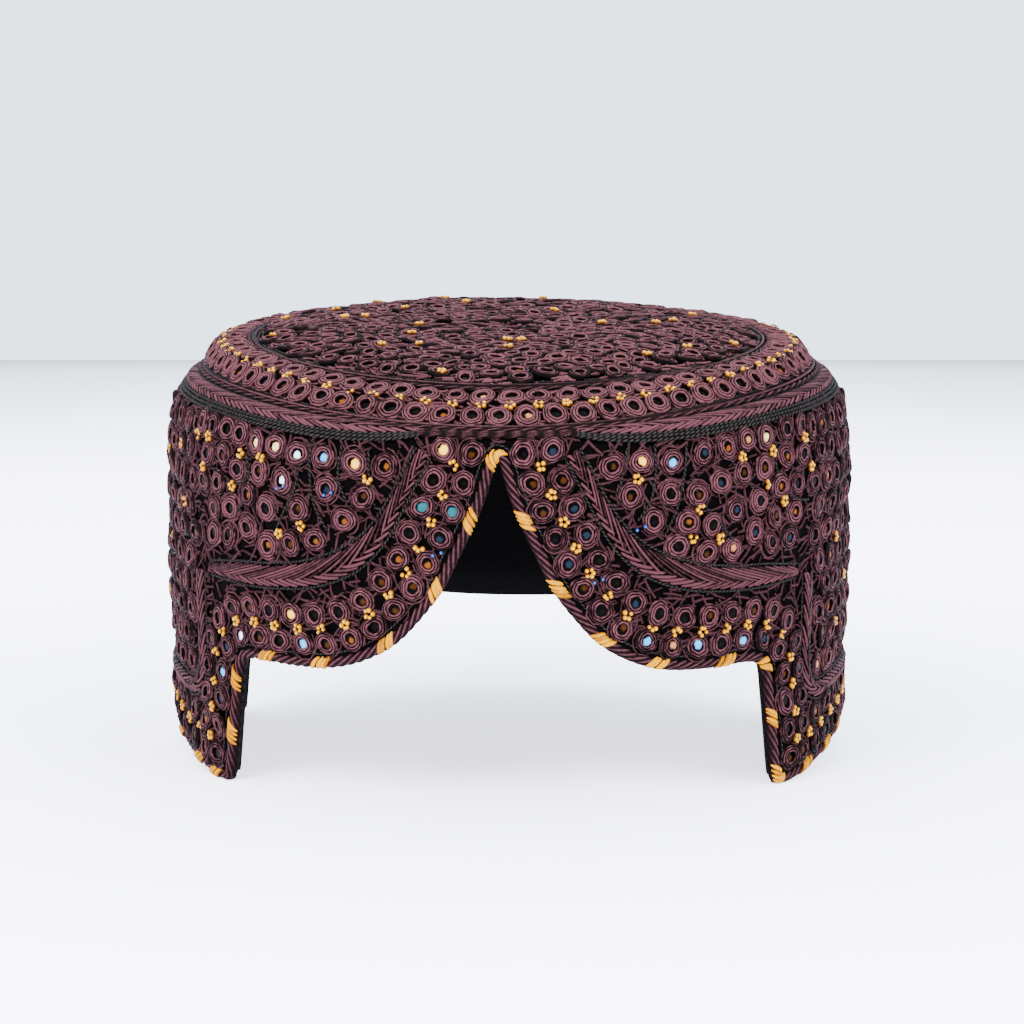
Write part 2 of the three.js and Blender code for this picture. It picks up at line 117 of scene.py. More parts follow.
# Crown outside: out, up, sag, spread, lift, loft outwards, loft upwards, as shares
CROWN_PROFILE = [
    (0.957, 0.14, 0.34, 0.15, 0.3, 0, 0.1),
    (0.899, 0.363, 1, 0.7, 0.6, 0.15, 0.4),
    (0.841, 0.684, 1.05, 0.5, 0.9, 0.8, 0.9),
    (0.758, 0.742, 0.42, 0.33, 1, 0.4, 1.1),
    (0.56, 0.92, 0.17, 0.17, 0.7, 0, 0.9),
    (0.28, 0.97, 0.03, 0, 0.2, 0, 0.4),
    (0, 1, 0, 0, 0, 0, 0),
]

# Half of the hem from the front to the back: turn in degrees, share of the stretch's height
NOTCH_EDGE = [
    (0, 1), (1.05, 0.978), (1.75, 0.925), (2.9, 0.82), (5, 0.679), (7.4, 0.541), (9.9, 0.401),
    (13, 0.286), (17.9, 0.146), (23.4, 0.061), (29.2, 0.015), (37, 0), (46.6, 0),
]
FRONT_STEP = [
    (49.6, 0.972), (51.2, 0.9), (52.6, 0.62), (53.6, 0.36), (54.5, 0.11), (54.9, 0.03), (55.3, 0),
    (55.9, 0), (57.1, 0), (57.7, 0),
]
FLAP_EDGE = [(58.9, 0.04), (61.2, 0.11), (66, 0.29), (73.3, 0.57), (80.2, 0.82), (FLAP_MIDDLE, 1)]
FLAP_EDGE += reflected(FLAP_EDGE[:-1])
BACK_STEP = reflected(FRONT_STEP)
BACK_EDGE = [(128, 1), (135, 0.985), (143, 0.95), (151, 0.9), (160, 0.83), (170, 0.78), (180, 0.765)]

# Braid over a front lobe: turn, share of the height from the lobe's hem to the notch's top, share of the width
LOBE_BRAID = [
    (12.4, 1, 0.5), (13.9, 0.928, 0.56), (15.6, 0.834, 0.55), (17.4, 0.741, 0.58), (19.3, 0.655, 0.7),
    (21.9, 0.57, 0.84), (25.3, 0.498, 0.98), (29.5, 0.445, 1), (34.5, 0.406, 0.95), (39, 0.389, 0.89),
    (43.5, 0.377, 0.84), (48, 0.372, 0.79), (53, 0.366, 0.6), (58.2, 0.358, 0.36),
]
LOBE_BRAID_WIDTH = 6.2

# Braid round a side flap: turn, height
FLAP_BRAID = [(61.9, 57), (62, 43.8), (62.2, 31.5), (63.6, 26), (66.8, 23.7), (73.6, 24.6), (80.5, 25.5),
              (FLAP_MIDDLE, 26)]
FLAP_BRAID += reflected(FLAP_BRAID[:-1])
FLAP_BRAID_WIDTH = 4.0
BACK_BRAID_WIDTH = 4.6
BACK_BRAID_INSET = 17.4

# Leaf braid below the crown's edge: turn, share of the width
LEAF_BRAID = [
    (13.8, 0.56), (16.5, 0.78), (20.5, 0.93), (27, 1), (35, 0.95), (44, 0.82), (56, 0.68), (72, 0.6),
    (90, 0.56), (110, 0.56), (130, 0.6), (150, 0.56), (167, 0.4),
]
LEAF_WIDTH = 6.2

# Painted reflections in the mirror glasses: name, linear colour of the painted reflection spot and its size, as a share
# of the glass
REFLECTIONS = {
    "dark": (0.002, 0.0015, 0.0015, 0.3),
    "brown": (0.03, 0.009, 0.0015, 0.42),
    "amber": (0.12, 0.032, 0.003, 0.42),
    "tan": (0.3, 0.11, 0.045, 0.5),
    "cream": (0.6, 0.42, 0.16, 0.7),
    "yellow": (0.75, 0.38, 0.03, 0.8),
    "white": (0.62, 0.7, 0.75, 0.62),
    "cyan": (0.045, 0.25, 0.5, 0.68),
    "blue": (0.006, 0.0105, 0.019, 0.5),
    "teal": (0.008, 0.065, 0.075, 0.85),
}

# Panel mirrors: turn, height, painted reflection in the glass. The left side's first, then the right side's.
LEFT_PANEL = [
    (18.8, 92.5, "amber"), (24.4, 92.7, "yellow"), (30.4, 93.6, "cyan"), (35.7, 93.7, "white"), (40.7, 95, "cream"),
    (45.3, 95.1, "cream"), (49.7, 96.5, "dark"), (53.6, 97, "dark"), (57.9, 97, "dark"), (62, 97.2, "dark"),
    (22.6, 83.9, "brown"), (29.5, 85.3, "blue"), (38.7, 86, "white"), (44, 87.6, "brown"), (49.6, 87.1, "dark"),
    (54.1, 90, "brown"), (59.4, 89.4, "dark"), (26.1, 77.4, "amber"), (35.2, 79, "brown"), (42.2, 78, "dark"),
    (46.6, 81, "amber"), (55, 82.4, "dark"), (60.2, 81.9, "dark"), (31.7, 71.2, "amber"), (36.9, 69.4, "brown"),
    (41.9, 67.9, "amber"), (46.9, 71.9, "dark"), (52, 68.9, "dark"), (56.6, 68.1, "dark"), (51.4, 76.3, "dark"),
    (56.4, 75.2, "dark"),
]
RIGHT_PANEL = [
    (19, 92.7, "brown"), (24.2, 93.5, "yellow"), (29.8, 92.9, "cyan"), (36, 94.2, "blue"), (41, 95.2, "amber"),
    (45.6, 96.4, "tan"), (50.1, 96.4, "cream"), (22.1, 84.8, "brown"), (29.2, 84.5, "dark"), (34.4, 83.7, "brown"),
    (39.1, 86.3, "blue"), (44, 88, "brown"), (49, 88.5, "brown"), (55.2, 90.3, "amber"), (60.4, 89.9, "dark"),
    (26.1, 77.6, "dark"), (32.4, 76.5, "amber"), (37.4, 75, "dark"), (42.2, 78.2, "blue"), (47.8, 79.8, "dark"),
    (53, 82.6, "amber"), (58, 82.5, "dark"), (51.8, 74.9, "brown"), (57.2, 74.9, "amber"), (30.6, 70.2, "dark"),
    (36.2, 67.7, "brown"), (41.6, 67.8, "tan"), (46.6, 71.6, "blue"), (50.9, 67.9, "dark"), (55.7, 68.1, "blue"),
    (56, 97.2, "dark"), (61, 97.3, "dark"),
]
# Gold flowers in the panels: turn, height
LEFT_FLOWERS = [(21.8, 88.8), (43.7, 91.3), (48.9, 91.6), (59, 94), (63.2, 93.7), (60, 85.8), (50.6, 82.4),
                (39.2, 71.7), (34.5, 74.6)]
RIGHT_FLOWERS = [(23.3, 89), (44, 92), (51.4, 92.3), (61.2, 94), (49.2, 83.8), (54, 78.6), (62.6, 86),
                 (34.8, 79.7), (33.5, 72), (38.9, 71)]
# Small blue beads: turn, height, left as minus
BLUE_BEADS = [(-9.8, 69.8), (-38.5, 84.4), (-28.9, 84.1), (23.7, 76), (16.5, 62.4)]
# Yellow satin patches on the binding: turn, height
LEFT_YELLOW = [(1.1, 94.8), (5.2, 79.2), (11, 60.4), (19.5, 46.1), (31.1, 39.4), (43.4, 38.2), (50.3, 28.1),
               (51.9, 13.4), (59, 1.9), (65.7, 4.6), (77.6, 6.1), (88, 10.4), (98, 8.5), (108, 5),
               (118, 1.5), (122, 22), (130, 36.9), (140, 35.7), (150, 33.6), (160, 31), (170, 29.2)]
RIGHT_YELLOW = [(3.5, 78.8), (10.3, 60.9), (17.3, 45.9), (27.3, 37.5), (40.7, 37.3), (51.2, 36.5), (52.7, 19.4),
                (54.8, 2.6), (64.1, 3.1), (73.1, 4.7), (82.2, 5.6), (92, 10.2), (102, 7.8), (112, 4),
                (119.5, 2), (122.5, 26), (133, 36.6), (143, 35.2), (153, 32.8), (163, 30.2), (175, 28.8)]
# Charcoal cords couched between the panels' mirrors: turn, height
LEFT_CORDS = [
    [(27, 97.5), (27.3, 88.3), (25.6, 82), (24.4, 76)],
    [(33.1, 97.5), (32.9, 89.1), (31.8, 80.5), (29.4, 74.2)],
    [(35, 91), (36, 84), (38.7, 76.5), (40.3, 71.5)],
    [(52, 73), (49, 76.8), (44.6, 83)],
    [(22, 96.5), (21.5, 88), (20.4, 81)],
    [(47.5, 92), (46.6, 86), (51.5, 82.6), (57.5, 86)],
]
RIGHT_CORDS = [
    [(26.8, 97.5), (26.6, 90), (25.6, 83), (23.4, 78)],
    [(32.8, 97), (31.9, 89), (30.2, 79.5), (28.2, 73.4)],
    [(38.5, 97), (42, 91), (45.9, 84), (50.4, 78)],
    [(33, 88), (36, 80.2), (40.2, 73), (43.6, 67)],
    [(52.6, 94), (52.4, 87), (56.6, 79), (62, 77)],
    [(21.8, 97), (20.6, 89), (19.8, 82)],
]
# Painted reflections in the border's mirrors: row, side (-1 left, 1 right), number from the notch's top
BORDER_REFLECTIONS = {
    ("outer", -1): "brown dark teal blue amber brown brown dark amber brown cyan dark brown white blue cyan blue",
    ("inner", -1): "yellow dark teal dark amber brown brown dark dark yellow dark brown dark dark",
    ("outer", 1): "dark brown brown dark blue brown dark brown cyan tan cyan dark cyan blue dark brown dark",
    ("inner", 1): "blue brown blue blue dark dark blue dark dark brown dark brown dark dark",
}

# Pairs of charcoal cords on the crown's disc: turn at its edge, turn at their inner end
DISC_CORDS = [(-52.0, -150.0), (-20.0, -165.0), (24.0, 160.0), (50.0, 140.0), (100.0, 170.0), (-110.0, -170.0),
              (150.0, 100.0), (-140.0, -80.0)]

# Half sections of rings wound of three threads and of two: share of the radius, share of the height, painted light
# (painted shade in the grooves, painted highlight on the crests)
RING_SECTION = np.array([
    (0.38, -0.05, 0.0), (0.39, 0.6, 0.4), (0.46, 0.93, 1.0), (0.55, 0.93, 1.0), (0.61, 0.68, 0.05),
    (0.67, 0.88, 0.9), (0.76, 0.84, 0.9), (0.81, 0.56, 0.0), (0.87, 0.7, 0.85), (0.95, 0.45, 0.6), (1.0, -0.1, 0.0),
])
DISC_SECTION = np.array([
    (0.4, -0.05, 0.0), (0.41, 0.6, 0.3), (0.49, 0.94, 1.0), (0.6, 0.94, 0.9), (0.68, 0.62, 0.1),
    (0.77, 0.84, 0.8), (0.88, 0.76, 0.6), (0.97, 0.4, 0.1), (1.0, -0.1, 0.0),
])


# ---------------------------------------------------------------- lines
def cubic(points, knots, at):
    """Cubic curve through points at their knots. Its slopes are the differences of the neighbours."""
    slopes = np.gradient(points, knots, axis=0)
    i = np.clip(np.searchsorted(knots, at, side="right") - 1, 0, len(knots) - 2)
    width = (knots[i + 1] - knots[i])[:, None]
    u = (at - knots[i])[:, None] / width
    return (
        (2 * u**3 - 3 * u**2 + 1) * points[i] + (u**3 - 2 * u**2 + u) * width * slopes[i]
        + (3 * u**2 - 2 * u**3) * points[i + 1] + (u**3 - u**2) * width * slopes[i + 1]
    )


def smooth(points, step=LINE_STEP):
    """Cubic line through points, in equal steps. Its knots are spaced by the root of each span's length."""
    points = np.asarray(points, float)
    spans = np.linalg.norm(np.diff(points[:, :2], axis=0), axis=1)
    knots = np.concatenate([[0.0], np.cumsum(np.sqrt(spans))])
    at = np.linspace(0.0, knots[-1], int(spans.sum() / step * 4) + 2)
    return even(cubic(points, knots, at), step)


def runs(line):
    """Distance along a line at each of its points."""
    return np.concatenate([[0.0], np.cumsum(np.linalg.norm(np.diff(line, axis=0), axis=1))])


def pick(at, places, values):
    """Rows of values interpolated at places."""
    return np.stack([np.interp(at, places, column) for column in values.T], axis=-1)


def along_line(line, distances):
    """Points of an unrolled line at given distances along it."""
    return pick(distances, runs(line[:, :2]), line)


def even(line, step=LINE_STEP):
    """The same line in equal steps close to a length."""
    whole = runs(line[:, :2])[-1]
    return along_line(line, np.linspace(0.0, whole, max(int(round(whole / step)), 1) + 1))


def side_of(line):
    """Unit direction to the left of a line at each point."""
    ahead = np.gradient(line[:, :2], axis=0)
    ahead /= np.linalg.norm(ahead, axis=1, keepdims=True)
    return np.stack([-ahead[:, 1], ahead[:, 0]], axis=1)


def beside(line, distance):
    """The line moved sideways, to its left, by a distance or by one for each point."""
    return line[:, :2] + side_of(line) * np.reshape(distance, (-1, 1))


def mirrored(line):
    """A line on the other side of the cap, walked the same way."""
    return line * np.array([-1.0] + [1.0] * (line.shape[1] - 1))


def stretch(rows, low, high):
    """Table rows of turn and share as unrolled points."""
    rows = np.asarray(rows, float)
    return np.stack([rows[:, 0] * MM_PER_DEGREE, low + (high - low) * rows[:, 1]], axis=1)


def hem_line():
    """The middle of the binding round the whole cap, from the middle of the back. A few points more at
    both ends keep it smooth where they meet."""
    half = np.concatenate([
        stretch(NOTCH_EDGE, LOBE_HEIGHT, NOTCH_TOP), stretch(FRONT_STEP, BINDING_RADIUS, LOBE_HEIGHT),
        stretch(FLAP_EDGE, BINDING_RADIUS, FLAP_ARCH), stretch(BACK_STEP, BINDING_RADIUS, BACK_SHOULDER),
        stretch(BACK_EDGE, BINDING_RADIUS, BACK_SHOULDER),
    ])
    other = mirrored(half)[::-1]
    line = np.concatenate([half[-4:-1] - [ROUND, 0.0], other[:-1], half, other[1:4] + [ROUND, 0.0]])
    line = smooth(line, HEM_STEP)
    return line[(line[:, 0] >= -ROUND / 2) & (line[:, 0] < ROUND / 2)]


HEM = hem_line()


def inset_line(distance):
    """The hem from the notch's top to the middle of the back, moved onto the cloth by a distance. Points
    that come closer to the hem than that, at sharp corners, are left out."""
    line = beside(HEM, distance)
    near = np.linalg.norm(line[:, None, :] - HEM[None, ::3, :], axis=2).min(axis=1)
    return even(line[(near > distance - 0.2) & (line[:, 0] >= 0)])


# ---------------------------------------------------------------- the cloth's surface
def surface_table():
    """The cloth's outside against the distance up it: the distances, the radius, height and crown's shares
    there, and the distances of the profiles' own points."""
    rows = [(up * BAND_HEIGHT, out * CLOTH_RADIUS, up * BAND_HEIGHT, 0, 0, 0, 0, 0) for up, out in BAND_PROFILE]
    for out, up, *shares in CROWN_PROFILE:
        radius, height = out * CLOTH_RADIUS, CROWN_RIM + up * CROWN_RISE
        run = math.hypot(radius - rows[-1][1], height - rows[-1][2])
        rows.append((rows[-1][0] + run, radius, height, *shares))
    rows = np.array(rows, float)
    at = np.arange(0.0, rows[-1, 0], 0.25)
    return at, cubic(rows, rows[:, 0], at), rows[:, 0]


UP_GRID, UP_TABLE, PROFILE_UPS = surface_table()
EDGE_UP = PROFILE_UPS[len(BAND_PROFILE) + 1]  # distance up the cloth at the crown's edge
CIRCLE_UP = PROFILE_UPS[len(BAND_PROFILE) + 3]  # and at the crown's inner circle
TOP_UP = UP_GRID[-1]
DISC_EDGE = TOP_UP - 0.3  # the last place where the cloth's direction is measured


def radius_at(up):
    return np.interp(up, UP_GRID, UP_TABLE[:, 1])


def cloth(turn, up):
    """Points of the cloth. Radius is the table's plus spread times the front sag, height is the table's
    less sag times the front sag plus lift times the back lift. The loft is added to both by its shares."""
    angle = np.radians(turn)
    facing = np.cos(angle)
    front = np.maximum(facing, 0.0) ** SAG_POWER * CROWN_SAG
    back = np.maximum(-facing, 0.0) ** 2 * CROWN_LIFT
    loft = CROWN_LOFT[0] + CROWN_LOFT[1] * np.sin(angle) ** 2 - CROWN_LOFT[2] * np.sin(angle)
    loft = loft * (1 - np.maximum(facing, 0.0))
    radius, height, sag, spread, lift, wide, high = (np.interp(up, UP_GRID, UP_TABLE[:, k]) for k in range(1, 8))
    radius = radius + spread * front + wide * loft
    height = height - sag * front + lift * back + high * loft - DROP
    return np.stack([radius * np.sin(angle), -radius * np.cos(angle), height], axis=-1)


def outward(turn):
    """Level unit direction away from the cap's axis."""
    angle = np.radians(turn)
    return np.stack([np.sin(angle), -np.cos(angle), np.zeros_like(angle)], axis=-1)


def wall_point(turn, height, depth):
    """Point inside the cloth by a depth, straight towards the middle."""
    return cloth(turn, height) - outward(turn) * depth


def unit(vectors):
    return vectors / np.maximum(np.linalg.norm(vectors, axis=-1, keepdims=True), 1e-9)


def frames(turn, up):
    """Points of the cloth with unit directions east along the turn, north up the cloth and out of it."""
    turn, up = np.broadcast_arrays(np.asarray(turn, float), np.asarray(up, float))
    east = unit(cloth(turn + 0.3, up) - cloth(turn - 0.3, up))
    north = unit(cloth(turn, np.minimum(up + 0.4, TOP_UP)) - cloth(turn, up - 0.4))
    out = unit(np.cross(east, north))
    return cloth(turn, up), east, np.cross(out, east), out


def crown_point(turn, up, depth):
    """Point inside the crown's cloth by a depth along its normal."""
    point, _, _, out = frames(turn, up)
    return point - out * depth


def lay(line, lift):
    """Unrolled points laid on the cloth at a height above it, with the direction out of the cloth."""
    point, _, _, out = frames(line[..., 0] / MM_PER_DEGREE, line[..., 1])
    return point + out * np.asarray(lift)[..., None], out


# ---------------------------------------------------------------- meshes
class Pile:
    """Parts of one mesh: points with a painted light value (painted shade to painted highlight), a tint and a painted
    reflection colour each, and faces with UV places and a slot.
    """

    def __init__(self):
        self.parts, self.groups, self.count = [], [], 0

    def add(self, points, painted_light, tint, groups, reflection=(0, 0, 0, 1)):
        """groups holds, for each face size, corner numbers, UV places and a material number."""
        points = points.reshape(-1, 3)
        number = len(points)
        painted_light, tint = (np.broadcast_to(np.ravel(values), number) for values in (painted_light, tint))
        self.parts.append((points, painted_light, tint, np.broadcast_to(reflection, (number, 4))))
        for corners, places, slot in groups:
            faces, size = corners.shape
            starts = (corners + self.count).ravel()
            self.groups.append((starts, places.reshape(-1, 2), np.full(faces, slot), np.full(faces, size)))
        self.count += number

    def piece(self, name, slot_name, materials, *nodes):
        """The mesh as an object at the origin, in metres, riding on the root, in place of solids."""
        points, painted_light, tint, reflection = (np.concatenate(values) for values in zip(*self.parts))
        corners, places, slots, sizes = (np.concatenate(values) for values in zip(*self.groups))
        points = points * METRE
        points[:, 2] = np.maximum(points[:, 2], 0.0)
        mesh = bpy.data.meshes.new(name)
        mesh.vertices.add(len(points))
        mesh.loops.add(len(corners))
        mesh.polygons.add(len(sizes))
        mesh.vertices.foreach_set("co", points.astype(np.float32).ravel())
        mesh.loops.foreach_set("vertex_index", corners.astype(np.int32))
        mesh.polygons.foreach_set("loop_start", (np.cumsum(sizes) - sizes).astype(np.int32))
        mesh.polygons.foreach_set("material_index", slots.astype(np.int32))
        mesh.update(calc_edges=True)
        mesh.uv_layers.new(name="thread").data.foreach_set("uv", places.astype(np.float32).ravel())
        for label, kind, key, values in (
            ("painted_light", "FLOAT", "value", painted_light), ("tint", "FLOAT", "value", tint),
            ("reflection", "FLOAT_COLOR", "color", reflection),
        ):
            mesh.attributes.new(label, kind, "POINT").data.foreach_set(key, values.astype(np.float32).ravel())
        for material in materials:
            mesh.materials.append(material)
        mesh.shade_smooth()
        mesh.validate()
        shape = bpy.data.objects.new(name, mesh)
        bpy.context.scene.collection.objects.link(shape)
        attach(shape, "root")
        if nodes:
            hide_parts(*nodes)


def turns_of(number):
    """Angles in equal steps round a circle."""
    return 2 * np.pi * np.arange(number) / number


def placed(base, x, y, rise):
    """Points by each place of the cloth: x along the turn, y up the cloth and rise out of it."""
    point, east, north, out = (values.reshape(len(values), *[1] * (np.ndim(x) - 1), 3) for values in base)
    return point + east * x[..., None] + north * y[..., None] + out * np.asarray(rise)[..., None]


def grid(copies, across, around, join_across, join_around):
    """Corner numbers and UV shares of copies of a grid, `across` stations by `around` points each."""
    ends = np.array([across - (not join_across), around - (not join_around)])
    a, b = (values.ravel() for values in np.meshgrid(np.arange(ends[0]), np.arange(ends[1]), indexing="ij"))
    a1, b1 = (a + 1) % across, (b + 1) % around
    one = np.stack([a * around + b, a1 * around + b, a1 * around + b1, a * around + b1], axis=1)
    shares = np.stack([a, b, a + 1, b, a + 1, b + 1, a, b + 1], axis=1).reshape(-1, 4, 2) / ends
    start = np.arange(copies)[:, None, None] * across * around
    return (one[None] + start).reshape(-1, 4), np.tile(shares, (copies, 1, 1))


def skin(points, name, slot_name, material, node):
    """A piece from a grid of points, column by column round the cap."""
    corners, shares = grid(1, *points.shape[:2], True, False)
    pile = Pile()
    # Painted light held at one middle value all over.
    pile.add(points, 0.4, 0.5, [(corners, shares, 0)])
    pile.piece(name, slot_name, [material], node)


def tubes(pile, path, out, radius, sides, tint, flat=1.0, turned=0.0, plies=0, depth=0.0, closed=False, slot=0,
          length=1.0):
    """Adds a tube round each path. A section's point is the centre, plus radius times cosine of the angle
    sideways, plus flat times radius times sine of the angle outwards. The angle starts `turned` further at
    each station. With plies the radius is less by depth between them."""
    copies, stations = path.shape[:2]
    if closed:
        ahead = unit(np.roll(path, -1, axis=1) - np.roll(path, 1, axis=1))
    else:
        ahead = unit(np.gradient(path, axis=1))
    side = unit(np.cross(ahead, out))
    face = np.cross(side, ahead)
    angle = turns_of(sides)
    ridge = 1 - depth * (0.5 + 0.5 * np.cos(plies * angle)) if plies else np.ones(sides)
    angle = angle[None, None, :] + np.broadcast_to(turned, (copies, stations))[..., None]
    size = np.broadcast_to(radius, (copies, stations))[..., None] * ridge
    points = (
        path[:, :, None, :]
        + side[:, :, None, :] * (np.cos(angle) * size)[..., None]
        + face[:, :, None, :] * (np.sin(angle) * size)[..., None] * flat
    )
    # Painted light: painted highlight on the side facing out of the cloth, painted shade on the side towards it; with
    # plies, painted shade in the grooves between them.
    painted_light = 0.5 + 0.5 * np.sin(angle)
    if plies:
        painted_light = painted_light * (0.25 + 0.75 * (ridge - ridge.min()) / np.ptp(ridge))
    corners, shares = grid(copies, stations, sides, closed, True)
    groups = [(corners, shares * np.array([length, 1.0]), slot)]
    if not closed:
        first = np.arange(copies)[:, None] * stations * sides + np.arange(sides)
        end_places = np.zeros((copies, sides, 2))
        groups += [(first[:, ::-1], end_places, slot), (first + (stations - 1) * sides, end_places, slot)]
    tints = np.broadcast_to(np.reshape(tint, (-1, 1, 1)), painted_light.shape)
    pile.add(points, painted_light, tints, groups)


def rope(pile, line, lift, radius, pitch, sides, step, depth, plies=2, closed=False):
    """A twisted cord on the cloth along an unrolled line. It turns once in `pitch`, and a closed one turns
    a whole number of times."""
    line = even(line, step)
    if closed:
        line = line[:-1]
        turned = turns_of(len(line)) * round(len(line) * step / pitch)
    else:
        turned = 2 * np.pi * runs(line) / pitch
    path, out = lay(line, np.full(len(line), lift))
    tubes(pile, path[None], out[None], radius, sides, 0.5, 1.0, turned[None], plies, depth, closed,
          length=len(line) * step / radius / 6)


def plait(pile, line, width, side, spine, high, low, tint):
    """A herringbone braid along an unrolled line. On each side of the spine strands start at the edge and run
    forward by a reach, in widths, while they cross to the spine. Their pitch is 1.9 radii times the strand's
    length over the part of it that goes across. `high` and `low` are a reach and a radius."""
    lift, height, sides = 0.45, 0.8, 6
    span = runs(line[:, :2])
    across = side_of(line) * side
    share = np.linspace(0.0, 1.0, 8)
    for way, (reach, radius) in ((1, high), (-1, low)):
        crossed = 0.5 - way * spine + 0.05
        pitch = 1.9 * radius * math.hypot(reach, crossed) / crossed
        begin = np.arange(-reach * width[0] * 0.6, span[-1] - 0.3 * reach * width[-1], pitch)
        begin = begin + rng.uniform(-0.12, 0.12, len(begin)) * pitch
        wide = np.interp(begin, span, width)
        at = np.clip(begin[:, None] + share[None] * reach * wide[:, None], 0, span[-1])
        local = np.interp(at, span, width)
        outer, inner = way * 0.5, spine - way * 0.05
        lateral = local * (outer + (inner - outer) * share[None] ** 1.1)
        points = pick(at, span, line[:, :2]) + pick(at, span, across) * lateral[..., None]
        rise = lift + height * np.sin(np.pi * (0.1 + 0.5 * share))[None] * np.minimum(local / width.max(), 1) ** 0.5
        path, out = lay(points, rise + rng.uniform(-0.1, 0.12, (len(begin), 1)))
        size = radius * np.interp(share, [0, 0.12, 0.8, 1], [0.6, 1.0, 1.0, 0.5])[None]
        size = size * (0.55 + 0.45 * local / width.max())
        tubes(pile, path, out, size, sides, tint - way * 0.2 + rng.uniform(-0.6, 0.6, len(begin)), 0.8, length=6.0)


def rings(pile, turn, up, size, height=RING_HEIGHT, squeeze=0.1, around=16, tilt=0.1, lift=0.0,
          section=RING_SECTION, tint=0.5):
    """Wound thread rings lying on the cloth. Each is a lathe of the ring section, its radius wavering by
    small second, third and sixth harmonics, a little oval, rough and tilted."""
    number = len(turn)
    angle = turns_of(around)
    phase = rng.uniform(0, 2 * np.pi, (2, number, 1))
    waver = 1 + squeeze * 0.6 * np.sin(2 * angle[None] + phase[0]) + 0.03 * np.sin(3 * angle[None] + phase[1])
    waver = waver + 0.03 * np.sin(6 * angle[None] + 2 * phase[1])
    size = np.broadcast_to(size, number) * rng.uniform(0.95, 1.05, number)
    radial = size[:, None, None] * waver[:, :, None] * section[None, None, :, 0]
    rise = height * section[None, None, :, 1] * rng.uniform(0.85, 1.12, (number, 1, 1)) + lift
    lean = rng.normal(0, tilt, (2, number, 1, 1))
    radial[:, :, 1:-1] += size[:, None, None] * rng.normal(0, 0.012, (number, around, len(section) - 2))
    x = radial * np.cos(angle)[None, :, None]
    y = radial * np.sin(angle)[None, :, None]
    points = placed(frames(turn, up), x, y, rise + (lean[0] * x + lean[1] * y))
    # Painted light from the section's last column, a little at random: painted shade in the grooves between the
    # threads, painted highlight on their crests.
    painted_light = section[:, 2] + rng.normal(0, 0.16, (number, around, len(section)))
    corners, shares = grid(number, around, len(section), True, False)
    tints = np.reshape(tint, (-1, 1, 1)) + rng.uniform(-0.35, 0.35, (number, 1, 1)) + np.zeros_like(painted_light)
    pile.add(points, painted_light, tints, [(corners, shares, 0)])


def halos(pile, turn, up, size, copies=2):
    """Loose arcs of thread wound round the rings, each from a turn to a turn at its own distance."""
    number = len(turn)
    for _ in range(copies):
        start = rng.uniform(0, 2 * np.pi, number)
        sweep = rng.uniform(1.7, 4.2, number)
        reach = size * rng.uniform(1.04, 1.2, number)
        angle = start[:, None] + sweep[:, None] * np.linspace(0, 1, 7)[None]
        far = reach[:, None] * (1 + 0.07 * np.sin(2 * angle + start[:, None] * 3))
        place = np.stack([turn[:, None] * MM_PER_DEGREE + far * np.cos(angle), up[:, None] + far * np.sin(angle)], -1)
        path, out = lay(place, np.broadcast_to(rng.uniform(0.15, 0.45, (number, 1)), angle.shape))
        tubes(pile, path, out, 0.4, 4, rng.uniform(-0.2, 0.5, number), 0.9)


def strands(pile, turn, up, lean, length, lift=0.15, tint=(0.0, 0.6)):
    """Short straight or slightly bent threads sewn flat on the cloth between the rings."""
    number = len(turn)
    share = np.linspace(-0.5, 0.5, 3)
    ahead = np.stack([np.cos(lean), np.sin(lean)], axis=-1)
    aside = np.stack([-np.sin(lean), np.cos(lean)], axis=-1)
    place = np.stack([turn * MM_PER_DEGREE, up], axis=-1)[:, None]
    place = place + ahead[:, None] * (length[:, None] * share[None])[..., None]
    bow = rng.uniform(-0.4, 0.4, (number, 1)) * (0.25 - share[None] ** 2) * 4
    place = place + aside[:, None] * bow[..., None]
    path, out = lay(place, np.broadcast_to(lift + rng.uniform(-0.1, 0.25, (number, 1)), (number, len(share))))
    tubes(pile, path, out, 0.55, 4, rng.uniform(*tint, number), 0.85)


def glasses(pile, turn, up, size, reflections, lift=0.8):
    """Round mirror glasses in the rings, each a flat fan whose UV is the place on the glass."""
    number, around = len(turn), 12
    angle = turns_of(around)
    x, y = (np.concatenate([[0.0], size * values])[None] for values in (np.cos(angle), np.sin(angle)))
    points = placed(frames(turn, up), x, y, np.where(np.arange(around + 1) > 0, lift, lift + 0.12)[None])
    k = np.arange(around)
    one = np.stack([np.zeros(around, int), 1 + k, 1 + (k + 1) % around], axis=1)
    corners = (one[None] + np.arange(number)[:, None, None] * (around + 1)).reshape(-1, 3)
    spun = angle[None] + rng.normal(0.9, 0.7, number)[:, None]
    places = np.concatenate([np.zeros((number, 1, 2)), np.stack([np.cos(spun), np.sin(spun)], axis=-1)], axis=1)
    tints = np.repeat(rng.uniform(0, 1, number), around + 1)
    # Each glass carries its painted reflection colour and the size of its spot.
    pile.add(points, 1.0, tints, [(corners, places[:, one], 0)], np.repeat(reflections, around + 1, axis=0))


